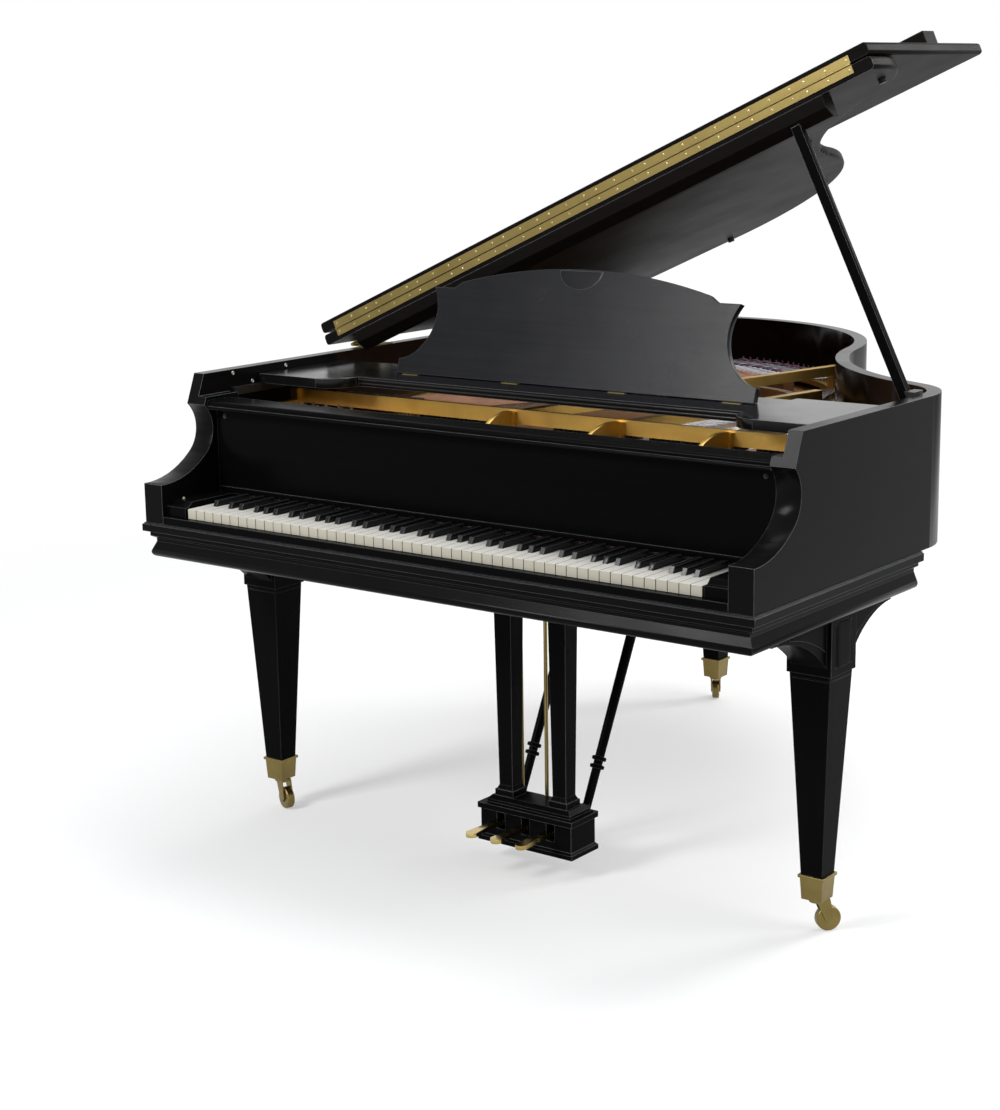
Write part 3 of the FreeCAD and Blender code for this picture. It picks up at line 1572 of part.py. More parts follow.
pieces = {
    "outer_rim": make_outer_rim(),
    "inner_rim": make_inner_rim(),
    "case_beams": make_case_beams(),
    "keybed": make_keybed(),
    "base_moulding": make_base_moulding(),
    "key_slip": make_key_slip(),
    "key_blocks": make_key_blocks(),
    "stretcher_rail": make_stretcher(),
    "soundboard": make_soundboard(),
    "soundboard_ribs": make_soundboard_ribs(),
    "bridges": make_bridges(),
    "cast_plate": make_plate(),
    "plate_bolts": make_plate_bolts(),
    "pinblock": make_pinblock(),
    "string_pins": make_string_pins(),
    "treble_strings": make_treble_strings(),
    "bass_strings": make_bass_strings(),
    "key_frame": make_key_frame(),
    "action_rail": make_action_rail(),
    "dampers": make_dampers(),
    "fallboard": make_fallboard(),
    "music_shelf": make_music_shelf(),
    "music_desk": make_music_desk(),
    "desk_hinges": make_desk_hinges(),
    "lid_main": make_lid_main(),
    "lid_batten": make_batten(),
    "lid_flap": make_lid_flap(),
    "flap_drop_rail": make_drop_rail(),
    "hinge_leaf_lid": make_hinge_leaf_lid(),
    "hinge_leaf_flap": make_hinge_leaf_flap(),
    "spine_hinges_case": make_spine_hinges(True),
    "spine_hinges_lid": make_spine_hinges(False),
    "lid_bumpers": make_lid_bumpers(),
    "lid_prop": make_lid_prop(),
    "short_prop": make_short_prop(),
    "prop_bracket": make_prop_bracket(),
    "leg_left": make_leg(left_leg_x, left_leg_y, base_bottom, -1),
    "leg_right": make_leg(leg_x, leg_y, base_bottom, 1),
    "leg_tail": make_leg(tail_leg_x, tail_leg_y, rim_bottom, 0),
    "leg_ferrules": make_ferrules(),
    "lyre": make_lyre(),
    "lyre_braces": make_braces(),
}
for name, notes in key_sets.items():
    pieces[name] = make_keys(notes)
    pieces[name.replace("keys", "hammers")] = make_hammers(notes)
for name, spot in zip(("left", "right", "tail"), leg_spots):
    pieces["caster_fork_" + name] = make_fork(spot)
    pieces["caster_wheel_" + name] = make_wheel(spot)
for name, x in zip(("left", "middle", "right"), pedal_xs):
    pieces["pedal_" + name] = make_pedal(x)
    pieces["pedal_rod_" + name] = make_pedal_rod(x)

# The origin sits on the floor, under the middle of the whole box
whole = FreeCAD.BoundBox()
for shape in pieces.values():
    whole.add(shape.optimalBoundingBox(False))
shift = V(-whole.Center.x, -whole.Center.y, -whole.ZMin)

os.makedirs("parts", exist_ok=True)
for name, shape in pieces.items():
    shape.translate(shift)
    shape.exportStep("parts/" + name + ".step")
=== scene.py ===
# %% [markdown]
# A grand piano, dressed for the picture.
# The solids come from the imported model, one object per real piece, each in metres and in its own place.
# This lesson gives them finishes, softens their edges and adds the small pieces that only matter to the eye.

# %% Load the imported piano
import bmesh
import bpy
import numpy as np
from mathutils import Matrix, Vector


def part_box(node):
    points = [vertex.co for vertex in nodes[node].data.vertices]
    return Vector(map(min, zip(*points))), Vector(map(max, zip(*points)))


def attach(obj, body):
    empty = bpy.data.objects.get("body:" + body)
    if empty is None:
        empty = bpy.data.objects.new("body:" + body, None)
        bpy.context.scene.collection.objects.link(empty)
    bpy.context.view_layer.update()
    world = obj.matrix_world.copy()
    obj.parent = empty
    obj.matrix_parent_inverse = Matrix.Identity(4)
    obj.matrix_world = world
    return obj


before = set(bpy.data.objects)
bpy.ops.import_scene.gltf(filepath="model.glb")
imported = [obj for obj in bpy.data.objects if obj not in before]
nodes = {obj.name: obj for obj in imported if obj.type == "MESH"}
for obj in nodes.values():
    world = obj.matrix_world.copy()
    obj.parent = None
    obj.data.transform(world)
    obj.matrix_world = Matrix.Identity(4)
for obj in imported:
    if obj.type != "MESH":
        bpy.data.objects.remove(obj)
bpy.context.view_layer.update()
rim_low, rim_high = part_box("outer_rim")
half_width = (rim_high.x - rim_low.x) / 2
case_origin = np.array([rim_low.x + half_width, rim_low.y, 0.0])
print("nodes", len(nodes), "case half width", round(half_width, 4))


def case_point(x, y, z):
    """Row-frame point from millimetres counted from the middle of the cheek fronts and the floor."""
    return case_origin + np.array([x, y, z]) / 1000


# %% [markdown]
# The camera stands in front and to the right of the keyboard, a little above the lid's low edge.
# Its place and turn were found by fitting known edges of the case, so the render lines up with the photo.
# A camera looks along its own minus Z, so its three axes are right, up and backwards.

# %% Camera at the photograph's angle
yaw, pitch, roll = np.radians([37.4715, 12.4092, -0.8898])
forward = np.array([-np.sin(yaw) * np.cos(pitch), np.cos(yaw) * np.cos(pitch), -np.sin(pitch)])
right = np.array([np.cos(yaw), np.sin(yaw), 0.0])
up = np.cross(right, forward)
right, up = np.cos(roll) * right + np.sin(roll) * up, -np.sin(roll) * right + np.cos(roll) * up
lens_pixels, picture_height, sensor_mm = 2146.53, 1110, 36.0
camera_data = bpy.data.cameras.new("camera")
camera_data.lens = sensor_mm * lens_pixels / picture_height
camera_data.sensor_width = sensor_mm
camera = bpy.data.objects.new("camera", camera_data)
bpy.context.scene.collection.objects.link(camera)
stand = np.eye(4)
stand[:3, 0], stand[:3, 1], stand[:3, 2] = right, up, -forward
stand[:3, 3] = case_point(2486.06, -2990.53, 1559.29)
camera.matrix_world = Matrix(stand.tolist())
bpy.context.scene.camera = camera
print("lens mm", round(camera_data.lens, 2))

# %% [markdown]
# Black lacquer is mostly what it reflects. A studio photographer surrounds it with large soft lights.
# One broad light hangs overhead and one stands to the right. A smaller one stands in front on the left, where
# the sloping cheek tops and the leaning desk mirror it into the camera. Another stands behind on the right,
# for the raised ends of the lid.
# The world lights evenly. What the camera sees behind the piano is white paper, and gloss and brass reflect
# that same paper, so the picture and its reflections agree.

# %% Soft studio light
scene = bpy.context.scene
scene.view_settings.view_transform = "Standard"


def soft_light(name, place, target, size, watts):
    """Rectangular lamp at a place, turned towards a target point, in metres."""
    data = bpy.data.lights.new(name, "AREA")
    data.shape = "RECTANGLE"
    data.size, data.size_y = size
    data.energy = watts
    lamp = bpy.data.objects.new(name, data)
    lamp.location = place
    lamp.rotation_euler = (Vector(target) - Vector(place)).to_track_quat("-Z", "Y").to_euler()
    scene.collection.objects.link(lamp)
    return lamp


soft_light("overhead", (0.25, 0.9, 4.2), (0.0, 0.0, 0.8), (3.5, 3.0), 130)
soft_light("right_bank", (4.0, 0.6, 2.6), (0.2, 0.0, 0.8), (2.5, 2.5), 70)
soft_light("front_window", (-1.35, -3.58, 2.80), (0.5, -0.5, 0.95), (1.0, 1.2), 98)
soft_light("back_window", (1.9, 3.1, 3.05), (0.6, -0.4, 1.6), (1.2, 1.2), 60)


def seen_directly(tree):
    """One for rays that a viewer sees: from the camera, off gloss or through glass. Zero for plain light."""
    rays = tree.nodes.new("ShaderNodeLightPath")
    best = rays.outputs["Is Camera Ray"]
    for kind in ("Is Glossy Ray", "Is Transmission Ray"):
        most = tree.nodes.new("ShaderNodeMath")
        most.operation = "MAXIMUM"
        tree.links.new(best, most.inputs[0])
        tree.links.new(rays.outputs[kind], most.inputs[1])
        best = most.outputs[0]
    return best


world = bpy.data.worlds.new("studio")
scene.world = world
world.use_nodes = True
tree = world.node_tree
tree.nodes.clear()
sky_out = tree.nodes.new("ShaderNodeOutputWorld")
room = tree.nodes.new("ShaderNodeBackground")
room.inputs["Color"].default_value = (0.93, 0.96, 1.0, 1)
room.inputs["Strength"].default_value = 0.42
paper = tree.nodes.new("ShaderNodeBackground")
paper.inputs["Color"].default_value = (1, 1, 1, 1)
paper.inputs["Strength"].default_value = 1.0
pick = tree.nodes.new("ShaderNodeMixShader")
tree.links.new(seen_directly(tree), pick.inputs["Fac"])
tree.links.new(room.outputs["Background"], pick.inputs[1])
tree.links.new(paper.outputs["Background"], pick.inputs[2])
tree.links.new(pick.outputs["Shader"], sky_out.inputs["Surface"])

# %% [markdown]
# Every surface made here is a grid of points worked out with numpy.
# The first two axes of the array are the two parameters of the surface, and the last holds x, y and z.
# Rings that close on themselves are stacked into shells, and a flat cap closes each end.
# One function turns the points and faces into an object that rides on a body of the model.

# %% From arrays to meshes


def grid_faces(rows, columns, close_rows=False, close_columns=False):
    """Quads of a grid numbered row by row; a closed direction joins its last line to its first."""
    i = np.arange(rows if close_rows else rows - 1)
    j = np.arange(columns if close_columns else columns - 1)
    i, j = np.meshgrid(i, j, indexing="ij")
    a, b = i % rows, (i + 1) % rows
    c, d = j % columns, (j + 1) % columns
    quads = np.stack([a * columns + c, b * columns + c, b * columns + d, a * columns + d], axis=-1)
    return quads.reshape(-1, 4)


def shell_faces(rows, columns, ring=False):
    """Faces of stacked closed rings: quads between them, and a cap on each end unless the stack is a ring."""
    quads = grid_faces(rows, columns, close_rows=ring, close_columns=True).tolist()
    first, last = np.arange(columns), np.arange((rows - 1) * columns, rows * columns)
    return quads if ring else quads + [first[::-1].tolist(), last.tolist()]


def repeated(faces, count, step):
    """The same faces for many copies whose points follow each other, step points apart."""
    return [[corner + copy * step for corner in face] for copy in range(count) for face in faces]


def mesh_piece(name, points, faces, body, material, smooth_deg=40):
    """Object at the origin from case points in mm and faces, riding on a body, with faces turned outwards."""
    metres = case_origin + np.asarray(points, float).reshape(-1, 3) / 1000
    mesh = bpy.data.meshes.new(name)
    mesh.from_pydata(metres.tolist(), [], faces)
    solid = bmesh.new()
    solid.from_mesh(mesh)
    bmesh.ops.recalc_face_normals(solid, faces=solid.faces)
    solid.to_mesh(mesh)
    solid.free()
    mesh.polygons.foreach_set("use_smooth", np.full(len(mesh.polygons), True))
    mesh.set_sharp_from_angle(angle=np.radians(smooth_deg))
    mesh.materials.append(material)
    mesh.update()
    piece = bpy.data.objects.new(name, mesh)
    scene.collection.objects.link(piece)
    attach(piece, body)
    return piece


print("mesh helpers ready")

# %% [markdown]
# The floor is a plain pale sheet, much larger than the instrument.
# It keeps the soft shadow under the legs and the lyre, and its own glow grows with distance,
# so it melts into the white paper behind. It is stage, not part of the piano.

# %% Pale floor
floor_half, floor_drop = 14.0, 0.0005
near_glow, near_grey = 0.40, 0.58
fade_from, fade_to = 1.6, 4.2
floor_paint = bpy.data.materials.new("floor_paint")
floor_paint.use_nodes = True
floor_shader = floor_paint.node_tree.nodes["Principled BSDF"]
floor_shader.inputs["Roughness"].default_value = 0.9
floor_shader.inputs["Specular IOR Level"].default_value = 0.1
floor_shader.inputs["Emission Color"].default_value = (1, 1, 1, 1)
tree = floor_paint.node_tree
place = tree.nodes.new("ShaderNodeTexCoord")
reach = tree.nodes.new("ShaderNodeVectorMath")
reach.operation = "LENGTH"
tree.links.new(place.outputs["Object"], reach.inputs[0])
fade = tree.nodes.new("ShaderNodeMapRange")
fade.interpolation_type = "SMOOTHSTEP"
paint = tree.nodes.new("ShaderNodeMapRange")
paint.interpolation_type = "SMOOTHSTEP"
for ramp, near, far in ((fade, near_glow, 1.0), (paint, near_grey, 0.0)):
    for key, number in (("From Min", fade_from), ("From Max", fade_to), ("To Min", near), ("To Max", far)):
        ramp.inputs[key].default_value = number
    tree.links.new(reach.outputs["Value"], ramp.inputs["Value"])
tree.links.new(paint.outputs["Result"], floor_shader.inputs["Base Color"])
glow = tree.nodes.new("ShaderNodeMath")
glow.operation = "MULTIPLY"
tree.links.new(fade.outputs["Result"], glow.inputs[0])
tree.links.new(seen_directly(tree), glow.inputs[1])
tree.links.new(glow.outputs[0], floor_shader.inputs["Emission Strength"])
s = np.linspace(-floor_half, floor_half, 2)
fx, fy = np.meshgrid(s, s, indexing="ij")
floor_mesh = bpy.data.meshes.new("floor")
floor_points = np.stack([fx, fy, np.full_like(fx, -floor_drop)], axis=-1).reshape(-1, 3)
floor_mesh.from_pydata(floor_points.tolist(), [], grid_faces(2, 2).tolist())
floor_mesh.materials.append(floor_paint)
floor = bpy.data.objects.new("floor", floor_mesh)
scene.collection.objects.link(floor)
print("floor", floor_half * 2, "m")

# %% [markdown]
# Finishes share three effects: long wood pores, cloudy handling marks and an edge mask, used for rubbed wear
# and for painted highlights along edges.
# Each is a node group with named sockets, so every material sets its own strength.
# Object coordinates are used throughout, because every piece sits at the origin in the shared frame.

# %% Shared effects as node groups


def new_group(name, ins, outs):
    """Empty shader group with float inputs (name, default) and outputs (name, socket type)."""
    group = bpy.data.node_groups.new(name, "ShaderNodeTree")
    for label, value in ins:
        sock = group.interface.new_socket(label, in_out="INPUT", socket_type="NodeSocketFloat")
        sock.default_value = value
    for label, kind in outs:
        group.interface.new_socket(label, in_out="OUTPUT", socket_type=kind)
    return group, group.nodes.new("NodeGroupInput"), group.nodes.new("NodeGroupOutput")


def add(tree, kind, **settings):
    """New node with its settings; a setting whose name is a socket sets that socket."""
    node = tree.nodes.new(kind)
    for key, value in settings.items():
        if hasattr(node, key):
            setattr(node, key, value)
        else:
            node.inputs[key.replace("_", " ")].default_value = value
    return node


def wood_pores():
    """Streaks: noise of object coordinates divided by (long, across, upright) lengths."""
    group, gin, gout = new_group("wood_pores", [("Along X", 3.0), ("Along Y", 90.0), ("Along Z", 90.0)],
                                 [("Streak", "NodeSocketFloat"), ("Fine", "NodeSocketFloat")])
    coords = add(group, "ShaderNodeTexCoord")
    join = add(group, "ShaderNodeCombineXYZ")
    for axis in "XYZ":
        group.links.new(gin.outputs["Along " + axis], join.inputs[axis])
    stretch = add(group, "ShaderNodeVectorMath", operation="MULTIPLY")
    group.links.new(coords.outputs["Object"], stretch.inputs[0])
    group.links.new(join.outputs["Vector"], stretch.inputs[1])
    wide = add(group, "ShaderNodeTexNoise", Scale=1.0, Detail=6.0, Roughness=0.6)
    fine = add(group, "ShaderNodeTexNoise", Scale=5.0, Detail=3.0, Roughness=0.7)
    group.links.new(stretch.outputs["Vector"], wide.inputs["Vector"])
    group.links.new(stretch.outputs["Vector"], fine.inputs["Vector"])
    group.links.new(wide.outputs["Fac"], gout.inputs["Streak"])
    group.links.new(fine.outputs["Fac"], gout.inputs["Fine"])
    return group


def handling_marks():
    """Cloudy marks: soft noise, sharpened between two levels, from 0 clean to 1 marked."""
    group, gin, gout = new_group("handling_marks", [("Size", 4.0)], [("Mark", "NodeSocketFloat")])
    coords = add(group, "ShaderNodeTexCoord")
    cloud = add(group, "ShaderNodeTexNoise", Detail=7.0, Roughness=0.62)
    group.links.new(coords.outputs["Object"], cloud.inputs["Vector"])
    group.links.new(gin.outputs["Size"], cloud.inputs["Scale"])
    level = add(group, "ShaderNodeMapRange")
    level.inputs["From Min"].default_value = 0.35
    level.inputs["From Max"].default_value = 0.72
    group.links.new(cloud.outputs["Fac"], level.inputs["Value"])
    group.links.new(level.outputs["Result"], gout.inputs["Mark"])
    return group


def edge_wear_and_highlight():
    """Edge mask: one minus the agreement of the true normal with one rounded over a radius."""
    group, gin, gout = new_group("edge_wear_and_highlight", [("Radius", 0.0015)], [("Edge", "NodeSocketFloat")])
    rounder = add(group, "ShaderNodeBevel", samples=4)
    group.links.new(gin.outputs["Radius"], rounder.inputs["Radius"])
    flat = add(group, "ShaderNodeNewGeometry")
    agree = add(group, "ShaderNodeVectorMath", operation="DOT_PRODUCT")
    group.links.new(rounder.outputs["Normal"], agree.inputs[0])
    group.links.new(flat.outputs["Normal"], agree.inputs[1])
    level = add(group, "ShaderNodeMapRange")
    level.inputs["From Min"].default_value = 0.995
    level.inputs["From Max"].default_value = 0.85
    group.links.new(agree.outputs["Value"], level.inputs["Value"])
    group.links.new(level.outputs["Result"], gout.inputs["Edge"])
    return group


effects = {"pores": wood_pores(), "marks": handling_marks(), "edges": edge_wear_and_highlight()}
print("groups", list(effects))

# %% [markdown]
# A small class of helpers keeps each recipe short: a material with its shader, a group placed in it,
# a blend of two colours by a mask, and a number remapped into a range.

# %% Material helpers


class Finish:
    """A material under construction: its node tree and its Principled shader."""

    def __init__(self, name, **sockets):
        self.material = bpy.data.materials.new(name)
        self.material.use_nodes = True
        self.tree = self.material.node_tree
        self.shader = self.tree.nodes["Principled BSDF"]
        for key, value in sockets.items():
            self.shader.inputs[key.replace("_", " ")].default_value = value

    def group(self, effect, **values):
        """Node of a shared effect with its socket values."""
        node = self.tree.nodes.new("ShaderNodeGroup")
        node.node_tree = effects[effect]
        for key, value in values.items():
            node.inputs[key.replace("_", " ")].default_value = value
        return node

    def blend(self, mask, low, high):
        """Colour between low and high by a mask; either end may be a socket."""
        node = add(self.tree, "ShaderNodeMix", data_type="RGBA")
        self.tree.links.new(mask, node.inputs["Factor"])
        for end, socket in ((low, node.inputs[6]), (high, node.inputs[7])):
            if isinstance(end, tuple):
                socket.default_value = end + (1,)
            else:
                self.tree.links.new(end, socket)
        return node.outputs[2]

    def span(self, value, low, high, start=0.0, stop=1.0):
        """Number remapped from start..stop to low..high."""
        node = add(self.tree, "ShaderNodeMapRange")
        self.tree.links.new(value, node.inputs["Value"])
        for key, number in (("From Min", start), ("From Max", stop), ("To Min", low), ("To Max", high)):
            node.inputs[key].default_value = number
        return node.outputs["Result"]

    def feed(self, socket, output):
        """Link an output to a socket of the shader."""
        self.tree.links.new(output, self.shader.inputs[socket])

    def relief(self, height, strength, distance):
        """Bump from a height, its distance in metres."""
        node = add(self.tree, "ShaderNodeBump", Strength=strength, Distance=distance)
        self.tree.links.new(height, node.inputs["Height"])
        self.feed("Normal", node.outputs["Normal"])


print("finish helper ready")

# %% [markdown]
# The case is wood under satin black lacquer. It is rubbed by hand along the grain, so it is neither matt nor
# mirror.
# Roughness varies with the rubbing marks, and a very low bump lets the pores show in grazing light.
# The desk gets the same recipe with deeper pores, because its veneer shows horizontal grain.

# %% Satin black lacquer

edge_wear_highlight_grey = (0.190, 0.195, 0.205)
inner_brown = (0.018, 0.0095, 0.006)


def facing_in(f, centre):
    """Mask of the faces behind the shelf that look towards a centre, their normals against the way out."""
    coords = add(f.tree, "ShaderNodeTexCoord")
    out = add(f.tree, "ShaderNodeVectorMath", operation="SUBTRACT")
    out.inputs[1].default_value = centre
    f.tree.links.new(coords.outputs["Object"], out.inputs[0])
    flat = add(f.tree, "ShaderNodeNewGeometry")
    agree = add(f.tree, "ShaderNodeVectorMath", operation="DOT_PRODUCT")
    f.tree.links.new(out.outputs["Vector"], agree.inputs[0])
    f.tree.links.new(flat.outputs["Normal"], agree.inputs[1])
    parts = add(f.tree, "ShaderNodeSeparateXYZ")
    f.tree.links.new(coords.outputs["Object"], parts.inputs["Vector"])
    behind = f.span(parts.outputs["Y"], 0.0, 1.0, case_point(0, 560, 0)[1], case_point(0, 580, 0)[1])
    both = add(f.tree, "ShaderNodeMath", operation="MULTIPLY")
    f.tree.links.new(f.span(agree.outputs["Value"], 0.0, 1.0, -0.02, -0.08), both.inputs[0])
    f.tree.links.new(behind, both.inputs[1])
    return both.outputs[0]


def lacquer(name, along, pore_depth, base, rough, gloss, streak=1.9, centre=None):
    """Black lacquer; along = (X, Y, Z) pore stretch, rough = (low, high); brown where it faces a centre;
    light grey edges, partly rubbed wear, partly painted highlight.
    """
    f = Finish(name, Specular_IOR_Level=gloss)
    pores = f.group("pores", Along_X=along[0], Along_Y=along[1], Along_Z=along[2])
    marks = f.group("marks", Size=5.0)
    edge = f.group("edges", Radius=0.0016)
    tone = f.blend(pores.outputs["Streak"], base, tuple(c * streak for c in base))
    if centre is not None:
        tone = f.blend(facing_in(f, centre), tone, inner_brown)
    # Edges are painted light grey: partly rubbed wear, partly a painted highlight along each arris.
    worn_and_highlit = f.blend(edge.outputs["Edge"], tone, edge_wear_highlight_grey)
    f.feed("Base Color", worn_and_highlit)
    f.feed("Roughness", f.span(marks.outputs["Mark"], rough[0], rough[1]))
    f.relief(pores.outputs["Fine"], pore_depth, 0.0004)
    return f.material


inside = tuple(case_point(-150, 900, 800))
grain_rim, grain_across, grain_upright = (3.0, 3.0, 60.0), (2.0, 70.0, 70.0), (70.0, 70.0, 2.0)
grain_desk = (2.2, 110.0, 110.0)
black_case = lacquer("lacquer_case", grain_rim, 0.10, (0.0026, 0.0026, 0.0028), (0.16, 0.25), 0.042,
                     centre=inside)
black_front = lacquer("lacquer_front", grain_across, 0.12, (0.0016, 0.0016, 0.0017), (0.18, 0.28), 0.02)
black_long = lacquer("lacquer_long_grain", grain_across, 0.12, (0.0048, 0.0038, 0.0034), (0.38, 0.46), 0.02)
black_shelf = lacquer("lacquer_shelf", grain_across, 0.14, (0.0034, 0.0035, 0.0040), (0.12, 0.22), 0.24)
black_leg = lacquer("lacquer_upright_grain", grain_upright, 0.12, (0.0022, 0.0022, 0.0024), (0.24, 0.34),
                    0.016)
black_desk = lacquer("lacquer_desk", grain_desk, 0.45, (0.0034, 0.0036, 0.0045), (0.20, 0.30), 0.10, 3.6)
black_patch = lacquer("lacquer_patch", grain_desk, 0.30, (0.0036, 0.0038, 0.0046), (0.20, 0.30), 0.09, 2.6)
print("lacquers", 7)

# %% [markdown]
# Brass on this piano is old: olive gold in the middle and browner where hands never polish it.
# The metal is one colour blended by cloudy marks, with brighter edges: partly rubbed wear, partly painted
# highlight.

# %% Aged brass, bronze plate, steel and copper


def metal(name, bright, dull, rough, rub_and_highlight, size=9.0):
    """Metal between a bright and a dull colour; edges go brighter towards the last colour, partly rubbed
    wear, partly painted highlight.
    """
    f = Finish(name, Metallic=1.0)
    marks = f.group("marks", Size=size)
    edge = f.group("edges", Radius=0.0008)
    tone = f.blend(marks.outputs["Mark"], bright, dull)
    # Brighter edges: partly rubbed wear, partly painted highlight.
    f.feed("Base Color", f.blend(edge.outputs["Edge"], tone, rub_and_highlight))
    f.feed("Roughness", f.span(marks.outputs["Mark"], rough[0], rough[1]))
    f.relief(marks.outputs["Mark"], 0.05, 0.0005)
    return f.material


brass = metal("aged_brass", (0.235, 0.18, 0.064), (0.15, 0.112, 0.038), (0.28, 0.44), (0.38, 0.31, 0.14))
polished = metal("polished_brass", (0.55, 0.43, 0.17), (0.36, 0.27, 0.09), (0.12, 0.24), (0.70, 0.58, 0.28))
bronze = metal("plate_bronze", (0.68, 0.45, 0.125), (0.55, 0.35, 0.088), (0.36, 0.50), (0.84, 0.64, 0.30),
               14.0)
steel = metal("string_steel", (0.46, 0.47, 0.50), (0.34, 0.35, 0.37), (0.22, 0.34), (0.70, 0.70, 0.72),
              30.0)
dark_steel = metal("prop_steel", (0.035, 0.035, 0.037), (0.02, 0.02, 0.02), (0.30, 0.45),
                   (0.10, 0.10, 0.105), 30.0)


def wound_copper(along, bare_from):
    """Copper winding that stops short of the pins: past a line across the strings the steel core is bare."""
    f = Finish("wound_copper", Metallic=1.0)
    marks = f.group("marks", Size=30.0)
    coords = add(f.tree, "ShaderNodeTexCoord")
    reach = add(f.tree, "ShaderNodeVectorMath", operation="DOT_PRODUCT")
    reach.inputs[1].default_value = along
    f.tree.links.new(coords.outputs["Object"], reach.inputs[0])
    bare = f.span(reach.outputs["Value"], 0.0, 1.0, bare_from, bare_from + 0.003)
    tone = f.blend(marks.outputs["Mark"], (0.34, 0.185, 0.12), (0.24, 0.125, 0.08))
    f.feed("Base Color", f.blend(bare, tone, (0.36, 0.37, 0.41)))
    f.feed("Roughness", f.span(marks.outputs["Mark"], 0.30, 0.42))
    f.relief(marks.outputs["Mark"], 0.3, 0.0004)
    return f.material


across_tail, bare_length = (0.459, 0.888, 0.0), 0.115
copper = wound_copper(across_tail, float(np.dot(across_tail, case_point(103, 1401, 0))) - bare_length)
print("metals", 6)

# %% [markdown]
# Bare wood inside the case is varnished. Spruce of the soundboard is quarter sawn, so its year rings run as
# close straight lines, which a stretched noise gives. Maple is plainer and redder under old varnish.

# %% Varnished spruce and maple


def varnished(name, along, pale, dark, rough, black_above=None):
    """Varnished wood: two tones by streaks, finer ones in the relief; blackened above a height in metres."""
    f = Finish(name, Specular_IOR_Level=0.5)
    pores = f.group("pores", Along_X=along[0], Along_Y=along[1], Along_Z=along[2])
    marks = f.group("marks", Size=3.0)
    tone = f.blend(f.span(pores.outputs["Streak"], 0.0, 1.0, 0.3, 0.7), pale, dark)
    tone = f.blend(marks.outputs["Mark"], tone, dark)
    if black_above is not None:
        coords = add(f.tree, "ShaderNodeTexCoord")
        parts = add(f.tree, "ShaderNodeSeparateXYZ")
        f.tree.links.new(coords.outputs["Object"], parts.inputs["Vector"])
        stain = f.span(parts.outputs["Z"], 0.0, 1.0, black_above, black_above + 0.002)
        tone = f.blend(stain, tone, (0.004, 0.0036, 0.0034))
    f.feed("Base Color", tone)
    f.feed("Roughness", f.span(marks.outputs["Mark"], rough[0], rough[1]))
    f.relief(pores.outputs["Fine"], 0.2, 0.0004)
    return f.material


grain_board, grain_plain, black_from = (90.0, 3.0, 30.0), (3.0, 60.0, 60.0), 0.90
spruce = varnished("varnished_spruce", grain_board, (0.46, 0.25, 0.09), (0.30, 0.14, 0.045), (0.25, 0.4))
maple = varnished("varnished_maple", grain_plain, (0.33, 0.18, 0.08), (0.20, 0.10, 0.04), (0.35, 0.5))
rim_maple = varnished("rim_maple", grain_plain, (0.30, 0.16, 0.07), (0.18, 0.09, 0.035), (0.35, 0.5),
                      black_from)
stained = varnished("stained_beech", grain_plain, (0.060, 0.032, 0.018), (0.030, 0.016, 0.009), (0.4, 0.55))
print("woods", 4)

# %% [markdown]
# Key tops are pale ivory-coloured plastic. Their fronts have yellowed, and they are painted darker too, as
# painted shade, since they catch less light.
# The surface normal tells front from top: it points towards the player on a key front.
# A dark line is painted where neighbours meet, as painted shade in the gaps between keys, so the width is
# counted in keys and folded about each meeting line.

# %% Key tops, sharps, felt and rubber
white_keys, keyboard_half = 52.0, 612.3


def ivory_keys():
    """Pale top; creamier front where the normal points to the player, darkened further as painted shade;
    painted gap shade where neighbours meet.
    """
    f = Finish("ivory_keys", Specular_IOR_Level=0.5, Coat_Weight=0.25, Coat_Roughness=0.15)
    flat = add(f.tree, "ShaderNodeNewGeometry")
    parts = add(f.tree, "ShaderNodeSeparateXYZ")
    f.tree.links.new(flat.outputs["Normal"], parts.inputs["Vector"])
    front = f.span(parts.outputs["Y"], 0.0, 1.0, -0.3, -0.8)
    marks = f.group("marks", Size=40.0)
    edge = f.group("edges", Radius=0.001)
    tone = f.blend(marks.outputs["Mark"], (0.79, 0.775, 0.725), (0.735, 0.71, 0.64))
    # Key fronts: yellowed colour, darkened further as painted shade.
    tone = f.blend(front, tone, (0.57, 0.535, 0.43))
    coords = add(f.tree, "ShaderNodeTexCoord")
    place = add(f.tree, "ShaderNodeSeparateXYZ")
    f.tree.links.new(coords.outputs["Object"], place.inputs["Vector"])
    ends = (case_point(x, 0, 0)[0] for x in (-keyboard_half, keyboard_half))
    steps = f.span(place.outputs["X"], 0.0, white_keys, *ends)
    fold = add(f.tree, "ShaderNodeMath", operation="PINGPONG")
    fold.inputs[1].default_value = 0.5
    f.tree.links.new(steps, fold.inputs[0])
    # Painted shade: a dark line at each meeting of two keys, where the gap would be in shade.
    painted_gap_shade = f.span(fold.outputs[0], 1.0, 0.0, 0.022, 0.040)
    f.feed("Base Color", f.blend(painted_gap_shade, tone, (0.10, 0.085, 0.06)))
    f.feed("Roughness", f.span(edge.outputs["Edge"], 0.28, 0.45))
    return f.material


def felt(name, colour, deep):
    """Wool felt: two tones of one colour by fine noise, with a soft sheen and fibrous relief."""
    f = Finish(name, Roughness=0.95, Specular_IOR_Level=0.1, Sheen_Weight=0.5, Sheen_Roughness=0.5)
    marks = f.group("marks", Size=420.0)
    f.feed("Base Color", f.blend(marks.outputs["Mark"], colour, deep))
    f.relief(marks.outputs["Mark"], 0.6, 0.0006)
    return f.material


